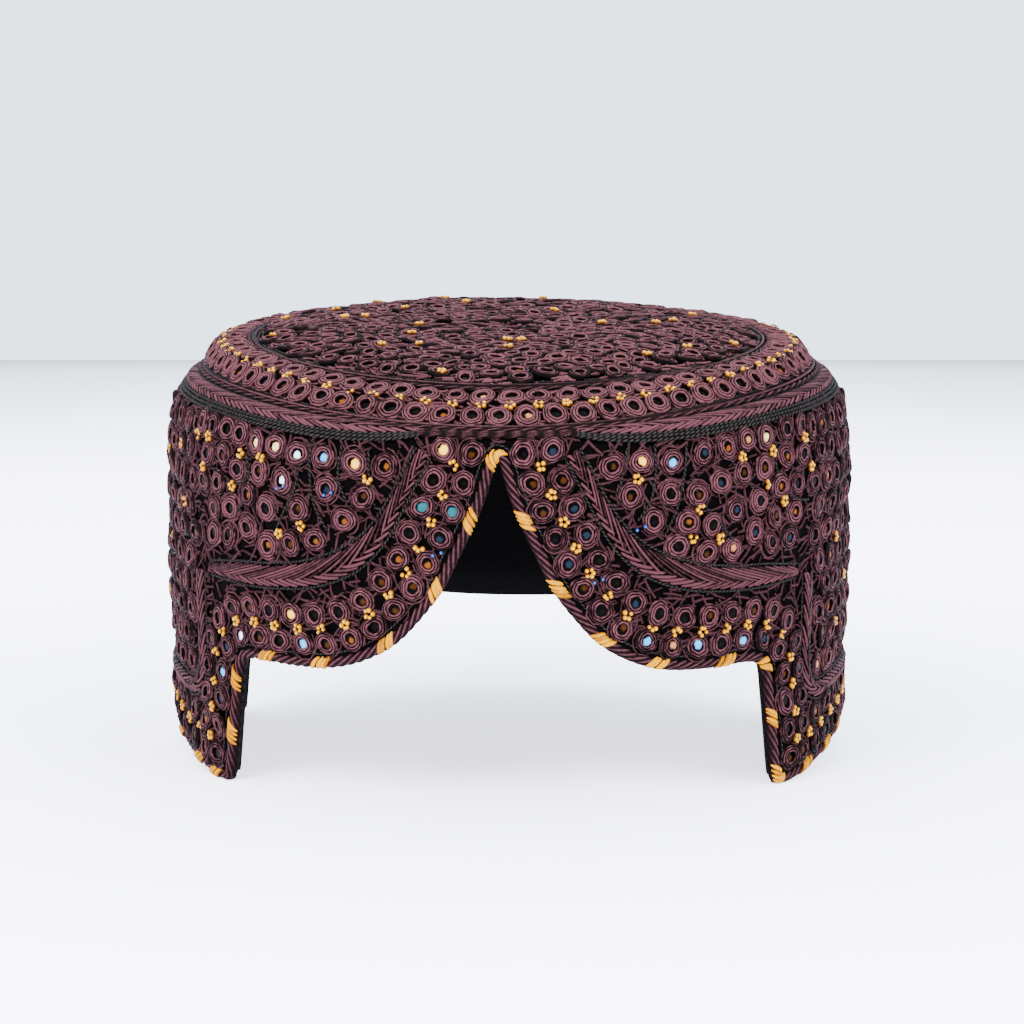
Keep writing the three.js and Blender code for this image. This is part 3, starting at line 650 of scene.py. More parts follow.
def balls(pile, centre, radius, out):
    """Small beads: spheres with a few rings, closed at both poles."""
    number, rows, around = len(centre), 3, 7
    polar = np.pi * (np.arange(rows) + 1) / (rows + 1)
    angle = turns_of(around)
    shell = np.stack([
        np.sin(polar)[:, None] * np.cos(angle)[None], np.sin(polar)[:, None] * np.sin(angle)[None],
        np.cos(polar)[:, None] * np.ones(around)[None],
    ], axis=-1).reshape(-1, 3)
    shell = np.concatenate([shell, [[0, 0, 1], [0, 0, -1]]])
    points = centre[:, None] + np.broadcast_to(radius, number)[:, None, None] * shell[None]
    per = len(shell)
    start = np.arange(number)[:, None, None] * per
    quads, _ = grid(1, rows, around, False, True)
    k = np.arange(around)
    low = (rows - 1) * around
    top = np.stack([np.full(around, per - 2), k, (k + 1) % around], axis=1)
    bottom = np.stack([np.full(around, per - 1), low + (k + 1) % around, low + k], axis=1)
    quads = (quads[None] + start).reshape(-1, 4)
    fans = (np.concatenate([top, bottom])[None] + start).reshape(-1, 3)
    # Painted light: painted highlight on the side facing out of the cloth, painted shade on the side towards it.
    painted_light = 0.5 + 0.5 * np.einsum("pc,nc->np", shell, out)
    pile.add(points, painted_light, np.repeat(rng.uniform(0, 1, number), per),
             [(faces, np.zeros((*faces.shape, 2)), 0) for faces in (quads, fans)])


def flowers(pile, turn, up, spread=1.02, lift=0.9):
    """Flowers of four or five gold beads round a point, turned at random."""
    base = frames(turn, up)
    number = len(turn)
    for k in range(5):
        angle = rng.uniform(-0.25, 0.25, number) + 2 * np.pi * k / 5 + np.arange(number) * 1.9
        reach = spread * rng.uniform(0.8, 1.15, number)
        keep = rng.uniform(0, 1, number) > (BEAD_MISSING if k else 0.0)
        rise = lift + rng.uniform(-0.1, 0.2, number)
        centre = placed(base, np.cos(angle) * reach, np.sin(angle) * reach, rise)
        balls(pile, centre[keep], BEAD_RADIUS * rng.uniform(0.85, 1.12, keep.sum()), base[3][keep])


# ---------------------------------------------------------------- materials
class Finish:
    """A node material built step by step."""

    def __init__(self, name):
        self.material = bpy.data.materials.new(name)
        self.material.use_nodes = True
        self.tree = self.material.node_tree
        self.tree.nodes.clear()

    def add(self, kind, inputs=None, **settings):
        """A node with its settings. Each input is a value or the socket that feeds it. Gives its outputs."""
        node = self.tree.nodes.new("ShaderNode" + kind)
        for key, value in settings.items():
            setattr(node, key, value)
        for key, value in (inputs or {}).items():
            if isinstance(value, bpy.types.NodeSocket):
                self.tree.links.new(value, node.inputs[key])
            else:
                node.inputs[key].default_value = value
        return node.outputs

    def number(self, operation, *values):
        return self.add("Math", dict(enumerate(values)), operation=operation)["Value"]

    def attribute(self, name):
        return self.add("Attribute", attribute_name=name)

    def uv(self, layer):
        return self.add("UVMap", uv_map=layer)["UV"]

    def place(self):
        return self.add("TexCoord")["Object"]

    def noise(self, vector, scale, detail, roughness=0.5):
        return self.add("TexNoise", {"Vector": vector, "Scale": scale, "Detail": detail, "Roughness": roughness})["Fac"]

    def ramp(self, source, stops):
        """Colour ramp from a value: each stop is a place and its red, green and blue."""
        outputs = self.add("ValToRGB", {0: source})
        elements = outputs[0].node.color_ramp.elements
        while len(elements) < len(stops):
            elements.new(0.5)
        for element, (place, *colour) in zip(elements, stops):
            element.position = place
            element.color = (*colour, 1.0)
        return outputs["Color"]

    def mix(self, factor, one, two, blend="MIX"):
        return self.add("Mix", {0: factor, 6: one, 7: two}, data_type="RGBA", blend_type=blend)[2]

    def surface(self, inputs):
        """Ends the material with a shader of these inputs."""
        self.add("OutputMaterial", {"Surface": self.add("BsdfPrincipled", inputs)["BSDF"]})
        return self.material


def thread_finish(name, dark, middle, light, stops=(0.0, 0.55, 1.0), rough=0.6, wound=False):
    """Silk thread: colour from painted shade in the creases to a painted highlight on the crests, read from the painted
    light attribute, less and more by a slow noise and the piece's tint, with fine fibres twisted along the thread as
    bumps. Wound thread has concentric bumps round its ring as well."""
    finish = Finish(name)
    patch = finish.noise(finish.place(), 700.0, 3.0, 0.6)
    # Painted light, plus a slow noise and the piece's tint, picks the colour between painted shade and painted
    # highlight.
    painted_light_noise_tint = finish.number("ADD", finish.attribute("painted_light")["Fac"], finish.number("MULTIPLY_ADD", patch, 0.64, -0.32))
    painted_light_noise_tint = finish.number("ADD", painted_light_noise_tint, finish.number("MULTIPLY_ADD", finish.attribute("tint")["Fac"], 0.35, -0.17))
    uv = finish.uv("thread")
    along = finish.add("Mapping", {"Vector": uv, "Scale": (6.5, 26.0, 1.0), "Rotation": (0.0, 0.0, 0.35)})["Vector"]
    bump = {"Height": finish.noise(along, 1.0, 2.0), "Strength": 0.35, "Distance": 0.0003}
    if wound:
        wave = finish.number("MULTIPLY", finish.add("SeparateXYZ", {"Vector": uv})["Y"], 2 * math.pi * 4)
        ripple = {"Height": finish.number("SINE", wave), "Strength": 0.6, "Distance": 0.0003}
        bump["Normal"] = finish.add("Bump", ripple)["Normal"]
    return finish.surface({
        "Base Color": finish.ramp(painted_light_noise_tint, [(stop, *colour) for stop, colour in zip(stops, (dark, middle, light))]),
        "Normal": finish.add("Bump", bump)["Normal"], "Roughness": rough, "Specular IOR Level": 0.02,
    })


def glass_finish(name):
    """Small mirror with a painted reflection: dark, with a bright ragged painted reflection spot of its colour to one
    side.
    The painted reflection's alpha is the size of the spot."""
    finish = Finish(name)
    away = finish.add("VectorMath", {0: finish.uv("thread"), 1: (0.3, 0.08, 0.0)}, operation="DISTANCE")["Value"]
    reflection = finish.attribute("reflection")
    beyond = finish.number("SUBTRACT", away, reflection["Alpha"])
    ragged = finish.number("MULTIPLY_ADD", finish.noise(finish.place(), 1300.0, 2.0), 0.7, beyond)
    # Where the glass shows its painted reflection spot.
    reflection_spot = finish.add("MapRange", {"Value": ragged, "From Min": 0.25, "From Max": 0.55, "To Min": 1.0, "To Max": 0.0})
    return finish.surface({
        "Base Color": finish.mix(reflection_spot["Result"], (0.0004, 0.0003, 0.0003, 1.0), reflection["Color"]),
        "Roughness": 0.3, "Specular IOR Level": 0.015,
    })


def bead_finish(name, low, middle, high, painted_highlight):
    """A bead: painted shade in its lower part, full colour above and a painted highlight on its top."""
    finish = Finish(name)
    stops = [(0.15, *low), (0.5, *middle), (0.82, *high), (0.97, *painted_highlight)]
    colour = finish.ramp(finish.attribute("painted_light")["Fac"], stops)
    return finish.surface({"Base Color": colour, "Roughness": 0.3, "Specular IOR Level": 0.08})


# Thread colours below run from the painted shade in the creases, through the middle, to the painted highlight on the
# crests.
PLUM_CREASE_SHADE = (0.0003, 0.0001, 0.0002)
BLACK_CREASE_SHADE = (0.0002, 0.0001, 0.0001)
braid_thread = thread_finish(
    "plum_braid_thread", PLUM_CREASE_SHADE, (0.0042, 0.0014, 0.0016), (0.053, 0.0175, 0.0215), (0.18, 0.62, 1.0))
pale_thread = thread_finish(
    "pale_braid_thread", PLUM_CREASE_SHADE, (0.0055, 0.0018, 0.0022), (0.06, 0.0205, 0.0255), (0.15, 0.6, 1.0))
ring_thread = thread_finish(
    "plum_ring_thread", PLUM_CREASE_SHADE, (0.0048, 0.0016, 0.0019), (0.082, 0.0275, 0.0325), wound=True)
crown_thread = thread_finish(
    "crown_ring_thread", PLUM_CREASE_SHADE, (0.0065, 0.0022, 0.0026), (0.083, 0.0285, 0.033), wound=True)
binding_thread = thread_finish("plum_binding_thread", PLUM_CREASE_SHADE, (0.006, 0.002, 0.0025), (0.066, 0.022, 0.027))
yellow_thread = thread_finish(
    "yellow_satin_thread", (0.035, 0.007, 0.0), (0.23, 0.075, 0.0), (0.42, 0.17, 0.0), (0.3, 0.75, 1.0))
cord_thread = thread_finish("charcoal_cord_thread", BLACK_CREASE_SHADE, (0.0022, 0.0018, 0.0017), (0.019, 0.0163, 0.0152))
# The band's fill threads and the ground cloth are partly their own dark plum and partly painted shade for the gaps
# between the rings.
shaded_fill_thread = thread_finish("dark_plum_fill_thread_painted_shade", BLACK_CREASE_SHADE, (0.0036, 0.0013, 0.0015), (0.036, 0.0125, 0.015))
shaded_cloth_thread = thread_finish("plum_ground_cloth_painted_shade", BLACK_CREASE_SHADE, (0.0007, 0.0004, 0.0005), (0.002, 0.001, 0.0012), rough=0.9)
lining_cloth = Finish("black_lining_cloth").surface(
    {"Base Color": (0.0006, 0.0005, 0.0005, 1.0), "Roughness": 0.9, "Specular IOR Level": 0.1})
mirror_glass = glass_finish("mirror_glass")
# Bead colours: painted shade, middle, full colour, painted highlight.
gold_bead = bead_finish("gold_bead", (0.004, 0.0008, 0.0), (0.07, 0.019, 0.0), (0.26, 0.092, 0.0), (0.6, 0.32, 0.002))
blue_bead = bead_finish(
    "blue_bead", (0.0005, 0.001, 0.005), (0.002, 0.004, 0.02), (0.006, 0.014, 0.08), (0.05, 0.09, 0.3))


# ---------------------------------------------------------------- cloth and binding
def make_band():
    """The band's wall: outside, top edge and inside between the cut hem and the top, as one closed skin."""
    foot = beside(HEM, CUT_EDGE)[::2]
    share = np.concatenate([np.linspace(0, 1, 16), np.linspace(1, 0, 6)])
    depth = np.repeat([0.0, BAND_WALL], [16, 6])
    height = foot[:, 1, None] + (BAND_HEIGHT - foot[:, 1, None]) * share[None]
    turn = np.broadcast_to(foot[:, :1] / MM_PER_DEGREE, height.shape)
    points = wall_point(turn, height, depth[None, :, None])
    skin(np.concatenate([points, points[:, :1]], axis=1), "band_cloth", "embroidered_cloth", shaded_cloth_thread, "band")


def make_crown():
    """The crown's cloth: outside from the rim to the centre, and the inside back to the rim."""
    turn = np.arange(0, 360, 3.0)
    up = np.concatenate([[CROWN_RIM], np.linspace(BAND_HEIGHT + 1.2, DISC_EDGE, 44)])
    outside = cloth(*np.meshgrid(turn, up, indexing="ij"))
    inside = crown_point(*np.meshgrid(turn, np.linspace(DISC_EDGE, EDGE_UP + 5, 14), indexing="ij"), CROWN_WALL)
    rim = wall_point(turn, np.full_like(turn, CROWN_RIM), CROWN_WALL)[:, None]
    points = np.concatenate([outside, inside, rim, outside[:, :1]], axis=1)
    skin(points, "crown_cloth", "embroidered_cloth", shaded_cloth_thread, "crown")


def make_lining():
    """The lining: a thin skin up the band's inside and across under the crown. Its lower edge is
    set in a little, and reaches lower behind."""
    foot = beside(HEM, CUT_EDGE)[::3]
    turn = foot[:, 0] / MM_PER_DEGREE
    share = np.linspace(0, 1, 9)
    low = foot[:, 1, None] - LINING_DROP * np.clip((np.abs(turn) - 126) / 4, 0, 1)[:, None]
    height = low + (BAND_HEIGHT - 1.0 - low) * share[None]
    turned_over = 0.9 * np.clip(1 - 5 * share, 0, 1)[None, :, None]
    turns, ups = np.meshgrid(turn, np.linspace(EDGE_UP + 6, DISC_EDGE, 9), indexing="ij")
    skins = []
    for gap in (LINING_GAP, LINING_GAP + LINING_WALL):
        wall = wall_point(np.broadcast_to(turn[:, None], height.shape), height, BAND_WALL + gap + turned_over)
        skins.append(np.concatenate([wall, crown_point(turns, ups, CROWN_WALL + gap)], axis=1))
    points = np.concatenate([skins[0], skins[1][:, ::-1], skins[0][:, :1]], axis=1)
    skin(points, "black_lining", "lining_cloth", lining_cloth, "lining")


def make_binding():
    """The rolled binding: one twisted cord round the whole hem. Each yellow patch is four tapered satin
    strokes over its outer half."""
    line = even(np.concatenate([HEM, HEM[:1] + [ROUND, 0.0]]), BINDING_STEP)[:-1]
    turn = line[:, 0] / MM_PER_DEGREE
    centre, out = wall_point(turn, line[:, 1], BAND_WALL / 2), outward(turn)
    length = len(line) * BINDING_STEP
    turned = turns_of(len(line)) * round(length / BINDING_PITCH)
    pile = Pile()
    tubes(pile, centre[None], out[None], BINDING_VISUAL, 4 * BINDING_PLIES, 0.5, 1.0, turned[None], BINDING_PLIES, 0.2,
          True, length=length / 6)
    distance = runs(line)
    begins = []
    for side, marks in ((-1, LEFT_YELLOW), (1, RIGHT_YELLOW)):
        for turn_mark, height in marks:
            near = np.argmin(np.hypot(line[:, 0] - side * turn_mark * MM_PER_DEGREE, line[:, 1] - height))
            begins += [distance[near] + STROKE_START + STROKE_PITCH * k + rng.uniform(-0.35, 0.35) for k in range(4)]
    share = np.linspace(0, 1, 9)
    at = np.clip(np.array(begins)[:, None] + STROKE_LENGTH * share[None] ** 1.2, 0, distance[-1])
    middle, face = pick(at, distance, centre), pick(at, distance, out)
    aside = unit(np.cross(face, np.gradient(middle, axis=1)))
    lean = np.radians(-75 + 150 * share)[None, :, None]
    away = face * np.cos(lean) + aside * np.sin(lean)
    size = STROKE_RADIUS * np.interp(share, [0, 0.3, 0.7, 1], [0.35, 1.0, 1.0, 0.3])
    tubes(pile, middle + away * (BINDING_VISUAL + 0.05), away, size[None], 6, rng.uniform(0, 1, len(at)), 0.6,
          slot=1, length=4.0)
    pile.piece("hem_binding_cord", "binding_thread", [binding_thread, yellow_thread], "hem_binding")


# ---------------------------------------------------------------- braids and cords
def lobe_line():
    rows = np.array(LOBE_BRAID)
    middle = stretch(rows[:, :2], LOBE_HEIGHT, NOTCH_TOP)
    return smooth(np.concatenate([middle, rows[:, 2:] * LOBE_BRAID_WIDTH], axis=1))


def back_line():
    half = inset_line(BACK_BRAID_INSET)
    half = half[half[:, 0] > (FLAP_BRAID[-1][0] + 2.4) * MM_PER_DEGREE]
    other = half[::-1] * [-1, 1] + [ROUND, 0]
    return even(np.concatenate([half, other[1:]]))


def leaf_line():
    rows = smooth(np.array(LEAF_BRAID) * [MM_PER_DEGREE, LEAF_WIDTH])
    return np.stack([rows[:, 0], EDGE_UP - 1.4 - 0.8 - rows[:, 1] / 2, rows[:, 1]], axis=1)


def level_line(turn, up):
    """Unrolled line of turns at one distance up the cloth."""
    return np.stack([turn * MM_PER_DEGREE, np.full(len(turn), up)], axis=1)


def circle_line(up):
    return level_line(np.arange(-180.0, 180.5), up)


LOBE, BACK, LEAF = lobe_line(), back_line(), leaf_line()
FLAP = smooth(np.array(FLAP_BRAID) * [MM_PER_DEGREE, 1.0])


def make_braids():
    """All flat braids sewn on the band."""
    flap_width = np.full(len(FLAP), FLAP_BRAID_WIDTH)
    kinds = (
        ("lobe", LOBE, LOBE[:, 2], -0.2, (3.0, 0.42), (1.1, 0.5), 0.5, braid_thread, "plum_braid"),
        ("flap", FLAP, flap_width, 0.0, (1.7, 0.5), (1.7, 0.5), 0.35, braid_thread, "plum_braid"),
        ("leaf", LEAF, LEAF[:, 2], -0.2, (2.9, 0.42), (1.0, 0.48), 0.5, pale_thread, "pale_braid"),
    )
    for name, side in (("left", -1), ("right", 1)):
        for kind, line, width, spine, high, low, tint, thread, slot_name in kinds:
            pile = Pile()
            plait(pile, line if side > 0 else mirrored(line), width, side, spine, high, low, tint)
            pile.piece(kind + "_plait_" + name, slot_name, [thread], kind + "_braid_" + name)
    pile = Pile()
    plait(pile, BACK, np.full(len(BACK), BACK_BRAID_WIDTH), 1, 0.0, (1.2, 0.5), (1.2, 0.5), 0.4)
    pile.piece("back_plait", "plum_braid", [braid_thread], "back_braid")


def make_crown_braids():
    """The crown's edge and inner circle: two long cords side by side, the outer one twisted closely and the
    inner one only once round the cap."""
    for name, up, radius in (("edge", EDGE_UP, 0.85), ("circle", CIRCLE_UP, 0.75)):
        pile = Pile()
        for way, pitch in ((-1, 15.0), (1, ROUND)):
            rope(pile, circle_line(up + way * 0.95 * radius), 0.75, radius, pitch, 12, 1.2, 0.34, 3, closed=True)
        pile.piece("crown_" + name + "_plait", "pale_braid", [pale_thread], "crown_" + name + "_braid")


def make_bridge():
    """Plum cords between the leaf braids' ends, under the crown's edge: over the notch and at the back."""
    pile = Pile()
    for middle, reach in ((0.0, 13.5), (180.0, 14.0)):
        turn = middle + np.arange(-reach, reach + 0.1, 0.5)
        for row in range(4):
            rope(pile, level_line(turn, EDGE_UP - BRIDGE_DROP - BRIDGE_PITCH * row), 0.45, 0.7, 9.0, 8, 0.9, 0.4)
    pile.piece("bridge_cords", "plum_braid", [braid_thread])


def charcoal(pile, line, radius=0.5, lift=0.4, pitch=2.6, closed=False):
    """A charcoal cord of two plies twisted closely."""
    rope(pile, line, lift, radius, pitch, 6, CHARCOAL_STEP, CHARCOAL_DEPTH, closed=closed)


def make_cords():
    """Charcoal cords: beside every braid, along the binding, and between the mirrors of the panels."""
    pile = Pile()
    for side, chart in ((-1, LEFT_CORDS), (1, RIGHT_CORDS)):
        for way in (-1, 1):
            for line, width in ((LOBE, LOBE[:, 2]), (FLAP, FLAP_BRAID_WIDTH)):
                charcoal(pile, beside(line, way * (width / 2 + CORD_GAP)) * [side, 1], lift=0.5)
        for row in range(3):
            cord = beside(LEAF, -(LEAF[:, 2] / 2 + 0.6 + row * 1.05))
            charcoal(pile, cord * [side, 1], radius=0.6, lift=0.5, pitch=3.4)
        charcoal(pile, inset_line(BINDING_VISUAL + 0.55) * [side, 1], radius=0.42, lift=0.2)
        for cord in chart:
            charcoal(pile, smooth(np.array(cord) * [side * MM_PER_DEGREE, 1]), radius=0.52, lift=0.5)
    for way in (-1, 1):
        charcoal(pile, beside(BACK, way * (BACK_BRAID_WIDTH / 2 + CORD_GAP)), lift=0.5)
    for up in (EDGE_UP - 1.9, EDGE_UP + 2.0):
        charcoal(pile, circle_line(up), lift=0.5, closed=True)
    charcoal(pile, level_line(np.arange(-13.5, 13.6, 0.5), EDGE_UP - 3.0), radius=0.6, pitch=3.4)
    pile.piece("band_charcoal_cords", "black_cord", [cord_thread])

    pile = Pile()
    for up in (CIRCLE_UP + 1.9, CIRCLE_UP + 3.0):
        charcoal(pile, circle_line(up), lift=0.5, closed=True)
    share = np.linspace(0, 1, 40)
    for turn_out, turn_in in DISC_CORDS:
        turn = turn_out + (turn_in - turn_out) * share + 3.0 * np.sin(share * 7)
        up = CIRCLE_UP + 3.5 + (TOP_UP - 14.0 - (CIRCLE_UP + 3.5)) * share
        point, _, _, out = frames(turn, up)
        level = np.stack([np.cos(np.radians(turn)), np.sin(np.radians(turn)), 0 * turn], axis=1)
        for offset in (0.0, 1.1):
            path = point + out * 0.8 + level * offset
            distance = runs(path)
            at = np.arange(0, distance[-1], CHARCOAL_STEP)
            tubes(pile, pick(at, distance, path)[None], pick(at, distance, out)[None], 0.52, 6, 0.5, 1.0,
                  (2 * np.pi * at / 2.6)[None], 2, CHARCOAL_DEPTH)
    pile.piece("crown_charcoal_cords", "black_cord", [cord_thread])


# ---------------------------------------------------------------- threads between the mirrors
def scatter(number, low, high):
    """Turns and distances up the cloth between two limits, spread evenly over its area: two sequences of
    multiples of an irrational number, without their whole parts, and a little random."""
    up = np.linspace(low, high, 400)
    wide = radius_at(up)
    share = np.concatenate([[0], np.cumsum(wide[1:])]) / wide[1:].sum()
    place = (rng.uniform(0, 1, 2) + np.arange(number)[:, None] * [0.7548776662, 0.5698402910]) % 1
    place = place + rng.normal(0, 0.3 / math.sqrt(number), (number, 2))
    return 360 * (place[:, 0] % 1) - 180, np.interp(place[:, 1], share, up)


def make_fill():
    """Short threads all over the band between the hem and the crown's edge, dark with painted shade of the gaps, and
    over the crown.
    """
    turn, up = scatter(BAND_STRANDS, 3.0, EDGE_UP - 3.5)
    hem = HEM[HEM[:, 0] >= 0]
    across = np.arange(0, ROUND / 2, 0.5)
    low = np.where(np.abs(hem[None, :, 0] - across[:, None]) < 4.0, hem[None, :, 1], -1.0).max(axis=1) + 2.5
    keep = up > np.interp(np.abs(turn) * MM_PER_DEGREE, across, low)
    turn, up = turn[keep], up[keep]
    lean = rng.normal(0, 0.8, len(turn))
    pile = Pile()
    strands(pile, turn, up, lean, rng.uniform(*STRAND_LENGTHS, len(turn)))
    pile.piece("band_filling_threads", "embroidered_cloth", [shaded_fill_thread])

    turn, up = scatter(CROWN_STRANDS, EDGE_UP + 1.5, TOP_UP - 3.0)
    length = rng.uniform(*STRAND_LENGTHS, len(turn)) * CLOTH_RADIUS / np.maximum(radius_at(up), 10)
    lift = np.where(up > CIRCLE_UP + 3, 0.75, 0.2)[:, None]
    pile = Pile()
    strands(pile, turn, up, rng.normal(0, 0.25, len(turn)), length, lift, (0.0, 1.0))
    pile.piece("crown_filling_threads", "embroidered_cloth", [crown_thread])


# ---------------------------------------------------------------- mirrors and beads
def reflection_list(names):
    return [REFLECTIONS[name] for name in names]


def random_reflections(number, dark=0.62):
    """Painted reflections for the glasses: mostly dark, with some brown, amber, blue and tan ones."""
    shares = [dark] + [part * (1 - dark) for part in (0.5, 0.25, 0.15, 0.1)]
    return reflection_list(rng.choice(["dark", "brown", "amber", "blue", "tan"], number, p=shares))


def row_places(distance, top, start, side):
    """Turns and heights in equal steps along a border row on one side, up to the middle of the back."""
    line = inset_line(distance)
    line = line[line[:, 1] < top]
    places = along_line(line, np.arange(start, runs(line)[-1] - 0.3 * ROW_PITCH, ROW_PITCH))
    return np.stack([side * places[:, 0] / MM_PER_DEGREE, places[:, 1]])


def make_border():
    """The border's two rows of mirrors with gold flowers between them, round the whole hem."""
    mirrors, reflections, beads = [], [], []
    for side in (-1, 1):
        for row, distance, top in (("outer", OUTER_ROW, 97.0), ("inner", INNER_ROW, 97.5)):
            places = row_places(distance, top, 0.3, side)
            given = reflection_list(BORDER_REFLECTIONS[(row, side)].split())
            mirrors.append(places)
            reflections += given + random_reflections(places.shape[1] - len(given))
        beads.append(row_places(BEAD_ROW, 96.0, 2.6, side))
    return *np.concatenate(mirrors, axis=1), reflections, *np.concatenate(beads, axis=1)


def clear_of_braids(turn, up, gap):
    """Which places keep a distance from the flap braids and the back braid."""
    places = np.stack([np.abs(turn) * MM_PER_DEGREE, up], axis=1)
    keep = np.ones(len(places), bool)
    for line, width in ((FLAP, FLAP_BRAID_WIDTH), (BACK, BACK_BRAID_WIDTH)):
        keep &= np.linalg.norm(places[:, None] - line[None, ::2, :2], axis=2).min(axis=1) > width / 2 + gap
    return keep


def level_row(turn, up):
    return np.stack([turn, np.full(len(turn), up)])


def make_panels():
    """Panel mirrors: the charted ones by the front, then staggered rows round the sides and the back."""
    turns, ups, reflections = [], [], []
    for side, chart in ((-1, LEFT_PANEL), (1, RIGHT_PANEL)):
        turns += [side * row[0] for row in chart]
        ups += [row[1] for row in chart]
        reflections += reflection_list([row[2] for row in chart])
    rows = [level_row(np.arange(SIDE_START + (k % 2) * SIDE_STAGGER, 179.5, SIDE_PITCH), up)
            for k, up in enumerate(np.arange(SIDE_TOP, 30.0, -SIDE_ROW))]
    turn, up = np.concatenate(rows, axis=1)
    turn = turn + rng.uniform(-0.35, 0.35, len(turn))
    up = up + rng.uniform(-0.5, 0.5, len(up))
    low = np.interp(turn * MM_PER_DEGREE, BACK[:, 0], BACK[:, 1])
    inside_flap = (turn > FLAP_INSIDE[0]) & (turn < FLAP_INSIDE[1])
    keep = clear_of_braids(turn, up, 3.9)
    keep &= np.where(inside_flap, up > 30, np.where(turn > BEHIND_FLAP, up > low, up > 63))
    turn, up = turn[keep], up[keep]
    return np.concatenate([turns, turn, -turn]), np.concatenate([ups, up, up]), reflections + random_reflections(2 * len(turn))


def side_shade_tint(turn):
    """Tint of the rings: half in front and darker towards the sides, a painted shade on the rings round the sides."""
    return 0.5 - 0.5 * np.clip((np.abs(turn) - 48) / 20, 0, 1)


def make_crown_rings():
    """Two rows of mirrors on the crown between its edge and its inner circle."""
    turns, ups = [], []
    for up, count, phase in ((EDGE_UP + 4.9, 70, 0.0), (EDGE_UP + 11.3, 64, 2.0)):
        turns.append(360 * (np.arange(count) + phase / 5) / count - 180 + rng.uniform(-0.3, 0.3, count))
        ups.append(np.full(count, up) + rng.uniform(-0.2, 0.2, count))
    return np.concatenate(turns), np.concatenate(ups)


def make_disc_rings():
    """Closely set rings over the crown's disc, on a jittered sunflower layout."""
    k = np.arange(DISC_FIRST, DISC_NUMBER)
    radius = DISC_RADIUS * np.sqrt((k + 0.5) / DISC_NUMBER)
    turn = np.degrees(k * GOLDEN_ANGLE) % 360 - 180
    up = np.interp(radius + rng.uniform(-0.8, 0.8, len(k)), UP_TABLE[:, 1][::-1], UP_GRID[::-1])
    return turn + rng.uniform(-1.5, 1.5, len(k)), up


def make_mirrors():
    """All rings, glasses, flowers and beads: the border's, the panels' and then the crown's."""
    glass_pile, bead_pile, halo_pile, ring_pile = Pile(), Pile(), Pile(), Pile()
    turn, up, reflections, flower_turn, flower_up = make_border()
    rings(ring_pile, turn, up, BORDER_SIZES[0], tint=side_shade_tint(turn) - 0.2)
    halos(halo_pile, turn, up, 3.7, copies=1)
    glasses(glass_pile, turn, up, BORDER_SIZES[1], reflections)
    flowers(bead_pile, flower_turn, flower_up)
    mirrors = [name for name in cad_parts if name.startswith("front_mirror")]
    ring_pile.piece("border_rings", "mirror_and_ring", [ring_thread], *mirrors)

    ring_pile = Pile()
    turn, up, reflections = make_panels()
    rings(ring_pile, turn, up, PANEL_SIZES[0], tint=side_shade_tint(turn))
    halos(halo_pile, turn, up, 3.65)
    glasses(glass_pile, turn, up, PANEL_SIZES[1], reflections)
    ring_pile.piece("panel_rings", "mirror_and_ring", [ring_thread])
    halo_pile.piece("ring_wraps", "mirror_and_ring", [ring_thread])
    for side, chart in ((-1, LEFT_FLOWERS), (1, RIGHT_FLOWERS)):
        flowers(bead_pile, *(np.array(chart) * [side, 1]).T)
    turn, up = scatter(60, 35.0, 92.0)
    low = np.interp(np.abs(turn) * MM_PER_DEGREE, BACK[:, 0], BACK[:, 1]) + 4.0
    keep = (np.abs(turn) > 68) & ((up > low) | (np.abs(turn) < FLAP_INSIDE[1])) & clear_of_braids(turn, up, 1.5)
    flowers(bead_pile, turn[keep], up[keep])

    ring_pile = Pile()
    turn, up = make_crown_rings()
    rings(ring_pile, turn, up, CROWN_SIZES[0], tilt=0.06, lift=0.3, tint=0.75)
    glasses(glass_pile, turn, up, CROWN_SIZES[1], random_reflections(len(turn), 0.7))
    flowers(bead_pile, 360 * np.arange(66) / 66 - 178, np.full(66, EDGE_UP + 8.2))
    turn, up = make_disc_rings()
    rings(ring_pile, turn, up, DISC_SIZES[0], height=1.35, squeeze=0.25, around=12, tilt=0.08, lift=0.9,
          section=DISC_SECTION)
    glasses(glass_pile, turn, up, DISC_SIZES[1], random_reflections(len(turn), 0.8), lift=1.4)
    ring_pile.piece("crown_rings", "mirror_and_ring", [crown_thread])
    glass_pile.piece("mirror_glasses", "mirror_glass", [mirror_glass])
    flowers(bead_pile, *scatter(26, CIRCLE_UP + 5, TOP_UP - 6), spread=0.8, lift=2.2)
    bead_pile.piece("gold_beads", "gold_bead", [gold_bead])

    bead_pile = Pile()
    chart = np.array(BLUE_BEADS)
    for step in (-0.7, 0.7):
        point, _, _, out = frames(chart[:, 0] + step, chart[:, 1] + 0.6 * step)
        balls(bead_pile, point + out * 1.4, 0.6, out)
    bead_pile.piece("blue_beads", "mirror_glass", [blue_bead])


# ---------------------------------------------------------------- stage and camera
FLOOR_HALF = 0.737  # metres
VIEW_SWING = math.radians(1.9)  # how far the photo's camera stands to the cap's right-hand side


